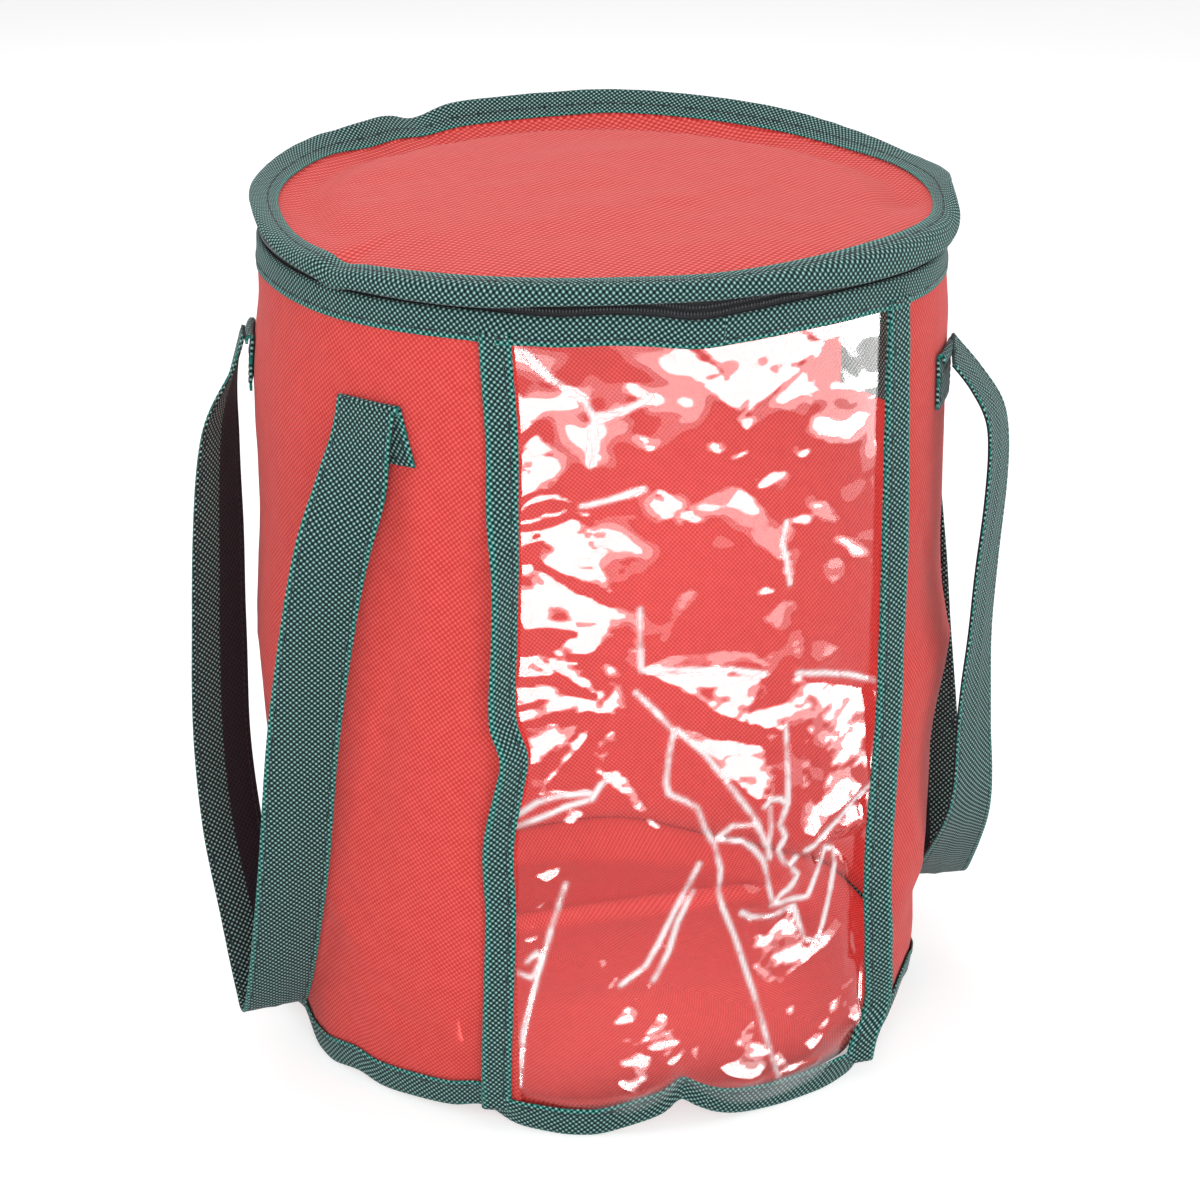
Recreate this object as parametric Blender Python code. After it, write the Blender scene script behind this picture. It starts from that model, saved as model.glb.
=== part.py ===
# A round, soft storage bag for strings of lights: a fabric wall with a clear window at the
# front, a flat sewn floor, a lid on a zip that runs round the mouth, and two carry straps.
# The window faces -Y, the straps hang at -X and +X, and the lid folds open towards +Y.
# Azimuths are in degrees, 0 at the middle of the window and growing towards +X.
# All lengths are in metres.

import math

import bmesh
import bpy
from mathutils import Matrix, Vector

# Wall of the bag
bag_radius = 0.150
foot_radius = 0.1415
tuck_height = 0.085
wall_height = 0.3587
wall_foot_height = 0.0013
panel_thickness = 0.0008
film_thickness = 0.0005
tape_thickness = 0.0006
seam_gap = 0.0003
facet_angle = 5.0

# Clear window and the tapes over its two seams
window_half_angle = 31.5
window_tape_width = 0.012
window_tape_thickness = 0.0009

# Floor and the tape folded round its seam
floor_flat_radius = 0.116
floor_seam_height = 0.0118
foot_tape_height = 0.012
foot_tape_inner_height = 0.0075

# Tape folded over the wall's upper edge
band_height = 0.0125

# Zip
zip_tape_thickness = 0.0005
coil_height = 0.0014
coil_depth = 0.0015
coil_above_band = 0.0015
coil_parting = 0.0012
zip_lower_start = -159.0
zip_lower_end = 159.0
zip_upper_start = -156.0
zip_upper_end = 146.0
stop_length = 0.004
stop_proud = 0.0004

# Slider, parked past the end of the upper coil, and its pull
slider_azimuth = 152.5
slider_length = 0.0090
slider_height = 0.0064
slider_plate = 0.0009
slider_clearance = 0.0006
slider_corner = 0.0012
post_length = 0.0024
bail_bar = 0.0008
bail_reach_up = 0.0016
bail_reach_down = 0.0030
pull_length = 0.0240
pull_width = 0.0048
pull_thickness = 0.0008
pull_clearance = 0.0003
pull_corner = 0.0008

# Lid and the tape folded round its edge, turned up at the back and down at the front
lid_seam_radius = 0.1460
lid_seam_above_zip = 0.0088
lid_crown = 0.0035
rim_knee_length = 0.0078
rim_hem_length = 0.0068
rim_up_angle = 40.0
rim_front_knee_angle = -8.0
rim_front_hem_angle = -84.0
rim_left_turn_start = -60.0
rim_left_turn_end = -96.0
rim_right_turn_start = 38.0
rim_right_turn_end = 70.0
rim_slack = 0.0002

# Fabric hinge at the back, where the zip stops
hinge_strip_width = 0.080

# Carry straps, their sewn ends and the patches behind these
strap_width = 0.030
strap_thickness = 0.0018
strap_front_azimuth = 55.3
strap_back_azimuth = 104.0
strap_fold_below_band = 0.0297
strap_drop = 0.2960
sewn_length = 0.0240
flap_length = 0.0150
flap_gap = 0.0006
right_flap_lean = 35.0
patch_width = 0.038
patch_height = 0.050
patch_above_sewn_foot = 0.018

# Share of the lid radius for each inner ring of the lid, and its share of the crown
lid_ring_shares = ((0.0, 1.0), (0.42, 0.86), (0.74, 0.50), (0.93, 0.14))

# Route of each strap: along the line between its ends in shares of half that line, out from
# that line in shares of the strap's width, down in shares of the drop, and how far the strap
# has turned from lying along the wall, 0, to standing square to it, 1, and back, 2
left_route_shares = (
    (-1.00, 0.10, 0.055, 0.04),
    (-1.01, 0.28, 0.120, 0.34),
    (-1.00, 0.55, 0.200, 0.50),
    (-0.90, 0.70, 0.310, 0.56),
    (-0.70, 0.84, 0.500, 0.62),
    (-0.50, 0.93, 0.710, 0.70),
    (-0.25, 1.00, 0.870, 0.86),
    (-0.03, 1.03, 0.960, 0.96),
    (0.14, 1.04, 0.990, 1.00),
    (0.31, 1.03, 0.965, 1.04),
    (0.50, 1.01, 0.880, 1.09),
    (0.76, 0.97, 0.760, 1.15),
    (0.89, 0.92, 0.620, 1.20),
    (0.92, 0.82, 0.460, 1.26),
    (0.93, 0.68, 0.300, 1.34),
    (0.97, 0.42, 0.150, 1.58),
    (1.00, 0.10, 0.055, 1.96),
)
right_route_shares = (
    (-1.00, 0.365, 0.046, 0.00),
    (-1.03, 0.64, 0.090, 0.02),
    (-1.03, 0.76, 0.140, 0.04),
    (-1.03, 0.76, 0.215, 0.06),
    (-1.03, 0.70, 0.330, 0.08),
    (-1.03, 0.66, 0.450, 0.13),
    (-1.01, 0.67, 0.575, 0.26),
    (-0.96, 0.74, 0.665, 0.38),
    (-0.80, 0.84, 0.735, 0.50),
    (-0.50, 0.92, 0.810, 0.66),
    (-0.10, 1.00, 0.890, 0.86),
    (0.26, 1.03, 0.940, 1.00),
    (0.50, 1.04, 0.945, 1.10),
    (0.72, 1.03, 0.890, 1.24),
    (0.88, 0.98, 0.770, 1.40),
    (0.95, 0.86, 0.600, 1.55),
    (0.97, 0.72, 0.420, 1.68),
    (0.98, 0.52, 0.240, 1.82),
    (0.99, 0.30, 0.130, 1.92),
    (1.00, 0.12, 0.060, 2.00),
)
route_steps = 2

# Places that follow from the sizes above
wall_inner_radius = bag_radius - panel_thickness
band_inner_radius = wall_inner_radius - seam_gap - tape_thickness
band_top = wall_height + seam_gap + tape_thickness * 2
band_foot = band_top - band_height
zip_tape_outer = band_inner_radius - seam_gap
zip_tape_inner = zip_tape_outer - zip_tape_thickness
coil_inner = zip_tape_outer + seam_gap
coil_outer = coil_inner + coil_depth
lower_coil_foot = band_top + coil_above_band
lower_coil_top = lower_coil_foot + coil_height
upper_coil_foot = lower_coil_top + coil_parting
upper_coil_top = upper_coil_foot + coil_height
zip_middle = (lower_coil_top + upper_coil_foot) / 2
lid_seam_height = upper_coil_top + lid_seam_above_zip
rim_half = panel_thickness / 2 + seam_gap + rim_slack + tape_thickness
lid_underside = lid_seam_height - rim_half
upper_tape_top = lid_underside - seam_gap * 3
window_tape_angle = math.degrees(window_tape_width / bag_radius)
window_edge_angle = window_half_angle + window_tape_angle / 2
half_gap_angle = math.degrees(seam_gap / 2 / foot_radius)
plate_inner_face = zip_tape_inner - slider_clearance
plate_outer_face = coil_outer + slider_clearance
pull_radius = plate_outer_face + slider_plate + pull_clearance + pull_thickness / 2
bail_inner_face = pull_radius + pull_thickness / 2 + pull_clearance
strap_layer = bag_radius + seam_gap
strap_fold_height = band_foot - strap_fold_below_band
fold_radius = strap_layer + strap_thickness + flap_gap + strap_thickness / 2


def clear_scene():
    for old in list(bpy.data.objects):
        bpy.data.objects.remove(old, do_unlink=True)


def finish(name, red, green, blue, roughness, metallic=0.0, alpha=1.0):
    material = bpy.data.materials.new(name)
    material.use_nodes = True
    shader = material.node_tree.nodes["Principled BSDF"]
    shader.inputs["Base Color"].default_value = (red, green, blue, 1.0)
    shader.inputs["Roughness"].default_value = roughness
    shader.inputs["Metallic"].default_value = metallic
    shader.inputs["Alpha"].default_value = alpha
    return material


def red_fabric():
    return finish("red_fabric", 0.83, 0.085, 0.075, 0.85)


def green_fabric():
    return finish("green_fabric", 0.055, 0.175, 0.145, 0.80)


def clear_film():
    return finish("clear_film", 0.95, 0.93, 0.93, 0.08, 0.0, 0.25)


def black_fabric():
    return finish("black_fabric", 0.010, 0.010, 0.012, 0.75)


def black_nylon():
    return finish("black_nylon", 0.015, 0.015, 0.018, 0.40)


def black_metal():
    return finish("black_metal", 0.020, 0.020, 0.022, 0.35, 0.8)


def add_object(name, bm, material, origin=(0.0, 0.0, 0.0), sharp_angle=30.0):
    """Makes an object of a bmesh, with its origin where it turns."""
    bmesh.ops.translate(bm, vec=-Vector(origin), verts=bm.verts)
    bmesh.ops.recalc_face_normals(bm, faces=bm.faces)
    mesh = bpy.data.meshes.new(name)
    bm.to_mesh(mesh)
    bm.free()
    mesh.shade_smooth()
    mesh.set_sharp_from_angle(angle=math.radians(sharp_angle))
    mesh.materials.append(material)
    item = bpy.data.objects.new(name, mesh)
    item.location = origin
    bpy.context.collection.objects.link(item)
    return item


def at_azimuth(azimuth, radius, height):
    turn = math.radians(azimuth)
    return Vector((radius * math.sin(turn), -radius * math.cos(turn), height))


def spun(name, section, start, end, material):
    """Turns a closed section, a list of (radius, height), about the bag's axis."""
    bm = bmesh.new()
    corners = [bm.verts.new(at_azimuth(start, radius, height)) for radius, height in section]
    face = bm.faces.new(corners)
    span = end - start
    full = abs(span - 360.0) < facet_angle / 10
    steps = max(1, math.ceil(span / facet_angle))
    bmesh.ops.spin(
        bm,
        geom=[face, *face.edges, *face.verts],
        axis=(0.0, 0.0, 1.0),
        cent=(0.0, 0.0, 0.0),
        angle=math.radians(span),
        steps=steps,
        use_merge=full,
    )
    if full:
        inner = [f for f in bm.faces if len(f.verts) == len(section) and len(section) > 4]
        bmesh.ops.delete(bm, geom=inner, context="FACES_ONLY")
    bmesh.ops.remove_doubles(bm, verts=bm.verts, dist=seam_gap / 100)
    return add_object(name, bm, material)


def stretch(bm, inner, outer, outer_next, inner_next):
    """Two triangles between a run of one section and the same run of the next. Cloth layers
    that lie on each other are split along the same diagonal, so that they stay apart."""
    if inner.co.xy.length > outer.co.xy.length:
        bm.faces.new((inner, outer, inner_next))
        bm.faces.new((outer, outer_next, inner_next))
    else:
        bm.faces.new((inner, outer, outer_next))
        bm.faces.new((inner, outer_next, inner_next))


def skinned(name, sections, closed, material, origin=(0.0, 0.0, 0.0)):
    """Joins like sections, each a closed loop of points, into one body."""
    bm = bmesh.new()
    loops = [[bm.verts.new(point) for point in section] for section in sections]
    count = len(loops[0])
    last = len(loops) if closed else len(loops) - 1
    for step in range(last):
        near = loops[step]
        far = loops[(step + 1) % len(loops)]
        for corner in range(count):
            after = (corner + 1) % count
            stretch(bm, near[corner], near[after], far[after], far[corner])
    if not closed:
        bm.faces.new(reversed(loops[0]))
        bm.faces.new(loops[-1])
    return add_object(name, bm, material, origin)


def wall_radius(height):
    """Radius of the wall's outer face: drawn in towards the floor seam."""
    share = min(1.0, max(0.0, (height - wall_foot_height) / tuck_height))
    return foot_radius + (bag_radius - foot_radius) * math.sin(share * math.pi / 2)


def wall_heights():
    low_share, mid_share = 0.33, 0.66
    return (
        wall_foot_height,
        wall_foot_height + tuck_height * low_share,
        wall_foot_height + tuck_height * mid_share,
        wall_foot_height + tuck_height,
        wall_height,
    )


def wall_section(outward, thickness, heights):
    """Section of a sheet that follows the wall, its outer face outward of the wall's."""
    outer = [(wall_radius(height) + outward, height) for height in heights]
    inner = [(radius - thickness, height) for radius, height in reversed(outer)]
    return outer + inner


def make_wall():
    edge = window_edge_angle + half_gap_angle
    section = wall_section(0.0, panel_thickness, wall_heights())
    spun("side_panel", section, edge, 360.0 - edge, red_fabric())


def make_window():
    edge = window_edge_angle - half_gap_angle
    section = wall_section(0.0, film_thickness, wall_heights())
    spun("window_panel", section, -edge, edge, clear_film())


def make_window_tapes():
    heights = list(wall_heights())
    heights[0] = foot_tape_height + seam_gap
    heights[-1] = band_foot - seam_gap
    outward = seam_gap + window_tape_thickness
    section = wall_section(outward, window_tape_thickness, heights)
    near = window_half_angle
    far = window_half_angle + window_tape_angle
    spun("window_binding_left", section, -far, -near, green_fabric())
    spun("window_binding_right", section, near, far, green_fabric())


def make_floor():
    """A round sheet that sags onto the ground inside its seam, its edge turned down."""
    seam_inner = wall_radius(floor_seam_height) - panel_thickness - seam_gap
    edge_inner = wall_radius(wall_foot_height) - panel_thickness - seam_gap
    top = floor_seam_height + panel_thickness
    turned = panel_thickness
    section = [
        (floor_flat_radius, 0.0),
        (seam_inner - turned * 2, floor_seam_height - turned),
        (edge_inner - turned, wall_foot_height),
        (edge_inner, wall_foot_height),
        (seam_inner, floor_seam_height),
        (seam_inner - turned, top),
        (seam_inner - turned * 3, top - turned / 2),
        (floor_flat_radius, panel_thickness),
    ]
    bm = bmesh.new()
    steps = round(360.0 / facet_angle)
    rings = []
    for radius, height in section:
        rings.append(
            [bm.verts.new(at_azimuth(step * facet_angle, radius, height)) for step in range(steps)]
        )
    for near, far in zip(rings, rings[1:]):
        for step in range(steps):
            after = (step + 1) % steps
            bm.faces.new((near[step], near[after], far[after], far[step]))
    bm.faces.new(rings[0])
    bm.faces.new(rings[-1])
    add_object("bottom_panel", bm, red_fabric())


def make_foot_tape():
    """Tape folded round the floor seam's edges, open at the top. The bag stands on it."""
    outer_low = wall_radius(wall_foot_height) + seam_gap
    outer_high = wall_radius(foot_tape_height) + seam_gap
    inner_low = wall_radius(wall_foot_height) - (panel_thickness + seam_gap) * 2
    inner_high = inner_low
    web = tape_thickness
    section = [
        (outer_low + web, 0.0),
        (outer_high + web, foot_tape_height),
        (outer_high, foot_tape_height),
        (outer_low, web),
        (inner_low - seam_gap, web),
        (inner_high - seam_gap, foot_tape_inner_height),
        (inner_high - seam_gap - web, foot_tape_inner_height),
        (inner_low - seam_gap - web, 0.0),
    ]
    spun("bottom_binding", section, 0.0, 360.0, green_fabric())


def make_band():
    """Tape folded over the upper edge of wall and window."""
    outer = bag_radius + seam_gap
    inner = wall_inner_radius - seam_gap
    under = band_top - tape_thickness
    section = [
        (outer + tape_thickness, band_foot),
        (outer + tape_thickness, band_top),
        (inner - tape_thickness, band_top),
        (inner - tape_thickness, band_foot),
        (inner, band_foot),
        (inner, under),
        (outer, under),
        (outer, band_foot),
    ]
    spun("top_band", section, 0.0, 360.0, green_fabric())


def upright_section(inner, outer, low, high):
    return [(outer, low), (outer, high), (inner, high), (inner, low)]


def make_zip():
    tape_low = upright_section(zip_tape_inner, zip_tape_outer, band_foot, lower_coil_top)
    tape_high = upright_section(zip_tape_inner, zip_tape_outer, upper_coil_foot, upper_tape_top)
    coil_low = upright_section(coil_inner, coil_outer, lower_coil_foot, lower_coil_top)
    coil_high = upright_section(coil_inner, coil_outer, upper_coil_foot, upper_coil_top)
    spun("zip_tape_lower", tape_low, zip_lower_start, zip_lower_end, black_fabric())
    spun("zip_tape_upper", tape_high, zip_upper_start, zip_upper_end, black_fabric())
    turn = math.degrees((stop_length + seam_gap) / coil_outer)
    spun("zip_coil_lower", coil_low, zip_lower_start + turn, zip_lower_end - turn, black_nylon())
    spun("zip_coil_upper", coil_high, zip_upper_start + turn, zip_upper_end, black_nylon())


def make_stops():
    length = math.degrees(stop_length / coil_outer)
    outer = coil_outer + stop_proud
    low = upright_section(coil_inner, outer, lower_coil_foot, lower_coil_top)
    high = upright_section(coil_inner, outer, upper_coil_foot, upper_coil_top)
    spun("zip_stop_start", low, zip_lower_end - length, zip_lower_end, black_metal())
    spun("zip_stop_end_lower", low, zip_lower_start, zip_lower_start + length, black_metal())
    spun("zip_stop_end_upper", high, zip_upper_start, zip_upper_start + length, black_metal())


def block(bm, low, high, bevel=0.0):
    """A box between two corners, as (radial, along, up), with its upright edges eased."""
    made = bmesh.ops.create_cube(bm, size=1.0)["verts"]
    size = [high[axis] - low[axis] for axis in range(3)]
    middle = [(high[axis] + low[axis]) / 2 for axis in range(3)]
    bmesh.ops.scale(bm, vec=size, verts=made)
    bmesh.ops.translate(bm, vec=middle, verts=made)
    if bevel:
        across = [
            edge
            for edge in {link for vert in made for link in vert.link_edges}
            if abs(edge.verts[0].co.x - edge.verts[1].co.x) > size[0] / 2
        ]
        bmesh.ops.bevel(
            bm, geom=across, offset=bevel, segments=2, profile=0.5, affect="EDGES", material=-1
        )


def turned_out(bm, azimuth):
    """Turns a mesh made at +X, with along as +Y, to its azimuth."""
    bmesh.ops.rotate(
        bm, verts=bm.verts, cent=(0.0, 0.0, 0.0),
        matrix=Matrix.Rotation(math.radians(azimuth - 90.0), 3, "Z"),
    )


def helper_block(name, low, high, bevel, azimuth):
    bm = bmesh.new()
    block(bm, low, high, bevel)
    turned_out(bm, azimuth)
    helper = add_object(name, bm, black_metal())
    helper.hide_render = True
    helper.display_type = "WIRE"
    return helper


def joined_to(item, helper):
    union = item.modifiers.new(helper.name, "BOOLEAN")
    union.operation = "UNION"
    union.solver = "EXACT"
    union.object = helper


def make_slider():
    """Two plates on either side of the coils, a thin post between them and a bail outside."""
    half = slider_length / 2
    low = zip_middle - slider_height / 2
    high = zip_middle + slider_height / 2
    outer_face = plate_outer_face + slider_plate
    bm = bmesh.new()
    block(bm, (plate_outer_face, -half, low), (outer_face, half, high), slider_corner)
    turned_out(bm, slider_azimuth)
    slider = add_object("zip_slider", bm, black_metal())
    into = slider_plate / 3
    inner_low = (plate_inner_face - slider_plate, -half, low)
    plate = helper_block(
        "inner_plate_guide", inner_low, (plate_inner_face, half, high), slider_corner,
        slider_azimuth,
    )
    post_half = coil_parting / 2 - seam_gap
    post = helper_block(
        "post_guide",
        (plate_inner_face - into, -half + slider_corner, zip_middle - post_half),
        (plate_outer_face + into, -half + slider_corner + post_length, zip_middle + post_half),
        0.0, slider_azimuth,
    )
    bar = helper_block(
        "bail_bar_guide",
        (bail_inner_face, -bail_bar / 2, zip_middle - bail_reach_down),
        (bail_inner_face + bail_bar, bail_bar / 2, zip_middle + bail_reach_up),
        0.0, slider_azimuth,
    )
    feet = []
    for name, foot_low, foot_high in (
        ("bail_lower_foot_guide", -bail_reach_down, -bail_reach_down + bail_bar),
        ("bail_upper_foot_guide", bail_reach_up - bail_bar, bail_reach_up),
    ):
        feet.append(helper_block(
            name,
            (outer_face - into, -bail_bar / 2 - seam_gap / 3, zip_middle + foot_low),
            (bail_inner_face + into, bail_bar / 2 + seam_gap / 3, zip_middle + foot_high),
            0.0, slider_azimuth,
        ))
    for helper in (post, plate, *feet, bar):
        joined_to(slider, helper)


def make_pull():
    """A flat tab with an eye at its head, whose upper bar turns inside the bail."""
    half_thick = pull_thickness / 2
    top = zip_middle + half_thick
    half = pull_width / 2
    bm = bmesh.new()
    block(
        bm, (pull_radius - half_thick, -half, top - pull_length),
        (pull_radius + half_thick, half, top), pull_corner,
    )
    turned_out(bm, slider_azimuth)
    axis = at_azimuth(slider_azimuth, pull_radius, zip_middle)
    pull = add_object("zip_pull", bm, black_metal(), axis)
    eye_half = bail_bar / 2 + pull_clearance * 2
    hole = helper_block(
        "pull_eye_guide",
        (pull_radius - pull_thickness, -eye_half, zip_middle - bail_reach_down - bail_bar),
        (pull_radius + pull_thickness, eye_half, zip_middle - half_thick),
        0.0, slider_azimuth,
    )
    cut = pull.modifiers.new("eye", "BOOLEAN")
    cut.operation = "DIFFERENCE"
    cut.solver = "EXACT"
    cut.object = hole


def eased(share):
    share = min(1.0, max(0.0, share))
    return share * share * (3.0 - 2.0 * share)


def turned_up_share(azimuth):
    """How far the rim is turned up at an azimuth: 0 at the front, 1 at the back."""
    azimuth = (azimuth + 180.0) % 360.0 - 180.0
    left = (azimuth - rim_left_turn_start) / (rim_left_turn_end - rim_left_turn_start)
    right = (azimuth - rim_right_turn_start) / (rim_right_turn_end - rim_right_turn_start)
    return max(eased(left), eased(right))


def rim_path(azimuth):
    """Seam, knee and hem of the rim as (radius, height), with each run's direction."""
    up = turned_up_share(azimuth)
    knee_angle = rim_front_knee_angle + (rim_up_angle - rim_front_knee_angle) * up
    hem_angle = rim_front_hem_angle + (rim_up_angle - rim_front_hem_angle) * up
    first = (math.cos(math.radians(knee_angle)), math.sin(math.radians(knee_angle)))
    second = (math.cos(math.radians(hem_angle)), math.sin(math.radians(hem_angle)))
    seam = (lid_seam_radius, lid_seam_height)
    knee = (seam[0] + first[0] * rim_knee_length, seam[1] + first[1] * rim_knee_length)
    hem = (knee[0] + second[0] * rim_hem_length, knee[1] + second[1] * rim_hem_length)
    return seam, knee, hem, first, second


def beside(point, direction, across, along=0.0):
    """A point moved across a direction, to its left, and along it."""
    return (
        point[0] - direction[1] * across + direction[0] * along,
        point[1] + direction[0] * across + direction[1] * along,
    )


def knee_beside(knee, first, second, across):
    """Where two runs at a distance from the path meet at its knee."""
    middle = (first[0] + second[0], first[1] + second[1])
    length = math.hypot(*middle)
    middle = (middle[0] / length, middle[1] / length)
    cosine = middle[0] * first[0] + middle[1] * first[1]
    return beside(knee, middle, across / cosine)


def ring_azimuths():
    return [step * facet_angle for step in range(round(360.0 / facet_angle))]


def make_lid_panel():
    """A crowned round sheet whose edge goes out into the folded tape."""
    half = panel_thickness / 2
    azimuths = ring_azimuths()
    bm = bmesh.new()
    rings = {1: [], -1: []}
    for side in (1, -1):
        centre = bm.verts.new((0.0, 0.0, lid_seam_height + lid_crown + side * half))
        rings[side].append([centre])
        for radius_share, crown_share in lid_ring_shares[1:]:
            radius = lid_seam_radius * radius_share
            height = lid_seam_height + lid_crown * crown_share + side * half
            rings[side].append([bm.verts.new(at_azimuth(a, radius, height)) for a in azimuths])
        seams, knees, hems = [], [], []
        for azimuth in azimuths:
            seam, knee, hem, first, second = rim_path(azimuth)
            seam_point = (seam[0] - seam_gap * side * first[1], seam[1] + side * half)
            seams.append(bm.verts.new(at_azimuth(azimuth, *seam_point)))
            knees.append(
                bm.verts.new(at_azimuth(azimuth, *knee_beside(knee, first, second, side * half)))
            )
            hems.append(bm.verts.new(at_azimuth(azimuth, *beside(hem, second, side * half))))
        rings[side].extend((seams, knees, hems))
    count = len(azimuths)
    for side in (1, -1):
        sheet = rings[side]
        for step in range(count):
            after = (step + 1) % count
            bm.faces.new((sheet[0][0], sheet[1][step], sheet[1][after]))
            for near, far in zip(sheet[1:], sheet[2:]):
                stretch(bm, near[step], far[step], far[after], near[after])
    top, foot = rings[1][-1], rings[-1][-1]
    for step in range(count):
        after = (step + 1) % count
        bm.faces.new((top[step], top[after], foot[after], foot[step]))
    add_object("lid_panel", bm, red_fabric(), lid_axis_point())


def make_lid_binding():
    """Tape folded round the lid's edge, a slot inside it for the lid's own cloth."""
    outer = rim_half
    slot = rim_half - tape_thickness
    beyond = seam_gap + tape_thickness
    sections = []
    for azimuth in ring_azimuths():
        seam, knee, hem, first, second = rim_path(azimuth)
        path = [
            beside(seam, first, outer),
            knee_beside(knee, first, second, outer),
            beside(hem, second, outer, beyond),
            beside(hem, second, -outer, beyond),
            knee_beside(knee, first, second, -outer),
            beside(seam, first, -outer),
            beside(seam, first, -slot),
            knee_beside(knee, first, second, -slot),
            beside(hem, second, -slot, seam_gap),
            beside(hem, second, slot, seam_gap),
            knee_beside(knee, first, second, slot),
            beside(seam, first, slot),
        ]
        sections.append([at_azimuth(azimuth, *point) for point in path])
    skinned("lid_binding", sections, True, green_fabric(), lid_axis_point())


def lid_axis_point():
    return Vector((0.0, bag_radius, lid_underside))


def make_hinge_strip():
    half = math.degrees(hinge_strip_width / 2 / zip_tape_outer)
    section = upright_section(
        zip_tape_outer - panel_thickness, zip_tape_outer, band_foot, lid_underside
    )
    spun("lid_hinge_strip", section, 180.0 - half, 180.0 + half, green_fabric())


def strap_end_section(lean):
    """A strap end sewn flat below, folded over at the top and hanging down outside."""
    inner = strap_layer
    outer = strap_layer + strap_thickness
    thick = strap_thickness
    fold = strap_fold_height
    foot = fold - sewn_length
    turn = math.radians(lean)
    out, down = math.sin(turn), math.cos(turn)
    hang = (outer + flap_gap, fold - thick)
    tip = (hang[0] + flap_length * out, hang[1] - flap_length * down)
    return [
        (inner, foot),
        (outer, foot),
        (outer, fold - thick),
        hang,
        tip,
        (tip[0] + thick * down, tip[1] + thick * out),
        (hang[0] + thick * down, hang[1] + thick * out),
        (hang[0] + thick / 2, fold),
        (inner + thick / 2, fold),
        (inner, fold - thick / 2),
    ]


def make_strap_end(name, azimuth, lean):
    half = math.degrees(strap_width / 2 / bag_radius)
    spun(name, strap_end_section(lean), azimuth - half, azimuth + half, green_fabric())


def make_patch(name, azimuth):
    half = math.degrees(patch_width / 2 / bag_radius)
    high = strap_fold_height - sewn_length + patch_above_sewn_foot
    outer = wall_inner_radius - seam_gap
    section = upright_section(outer - tape_thickness, outer, high - patch_height, high)
    spun(name, section, azimuth - half, azimuth + half, green_fabric())


def make_strap_ends():
    leans = {"left": 0.0, "right": right_flap_lean}
    for hand, side in (("left", -1), ("right", 1)):
        for place, azimuth in (("front", strap_front_azimuth), ("back", strap_back_azimuth)):
            lean = leans[hand] if place == "front" else 0.0
            make_strap_end(f"handle_{hand}_end_{place}", side * azimuth, lean)
            make_patch(f"patch_{hand}_{place}", side * azimuth)


def strap_frame(side):
    """Middle of the line between a strap's ends, the line's direction, outwards, half length."""
    front = at_azimuth(side * strap_front_azimuth, fold_radius, strap_fold_height)
    back = at_azimuth(side * strap_back_azimuth, fold_radius, strap_fold_height)
    middle = (front + back) / 2
    along = (back - front).normalized()
    outward = Vector((middle.x, middle.y, 0.0)).normalized()
    return middle, along, outward, (back - front).length / 2


def smooth_route(shares):
    """Points on one smooth curve through the shares, a few to each stretch."""
    points = []
    last = len(shares) - 1
    for start in range(last):
        before = shares[max(start - 1, 0)]
        after = shares[min(start + 2, last)]
        here, there = shares[start], shares[start + 1]
        for step in range(route_steps):
            t = step / route_steps
            t2, t3 = t * t, t * t * t
            weights = (
                (-t3 + 2 * t2 - t) / 2,
                (3 * t3 - 5 * t2 + 2) / 2,
                (-3 * t3 + 4 * t2 + t) / 2,
                (t3 - t2) / 2,
            )
            four = (before, here, there, after)
            points.append([
                sum(weight * point[item] for weight, point in zip(weights, four))
                for item in range(4)
            ])
    points.append(list(shares[last]))
    return points


def make_strap(name, side, shares):
    """A flat strap along its route, turning from the wall's tangent to square and back."""
    middle, along, outward, half_line = strap_frame(side)
    lie = math.radians((strap_back_azimuth - strap_front_azimuth) / 2)
    route = smooth_route(shares)
    places = []
    for across, out, down, _turn in route:
        places.append(
            middle + along * across * half_line + outward * out * strap_width
            - Vector((0.0, 0.0, strap_drop * down))
        )
    sections = []
    for step, place in enumerate(places):
        tangent = places[min(step + 1, len(places) - 1)] - places[max(step - 1, 0)]
        tangent.normalize()
        swing = lie + (math.pi / 2 - lie) * route[step][3]
        wide = along * math.cos(swing) + outward * math.sin(swing)
        wide = (wide - tangent * wide.dot(tangent)).normalized()
        deep = tangent.cross(wide)
        half = wide * strap_width / 2
        thick = deep * strap_thickness / 2
        sections.append([
            place - half - thick, place + half - thick, place + half + thick, place - half + thick,
        ])
    skinned(name, sections, False, green_fabric(), middle)


def make_bag():
    clear_scene()
    make_wall()
    make_window()
    make_window_tapes()
    make_floor()
    make_foot_tape()
    make_band()
    make_zip()
    make_stops()
    make_slider()
    make_pull()
    make_lid_panel()
    make_lid_binding()
    make_hinge_strip()
    make_strap_ends()
    make_strap("handle_left_strap", -1, left_route_shares)
    make_strap("handle_right_strap", 1, right_route_shares)


make_bag()
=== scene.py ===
import bisect
import functools
import math

import bmesh
import bpy
import numpy
from mathutils import Matrix, Vector, noise


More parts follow.
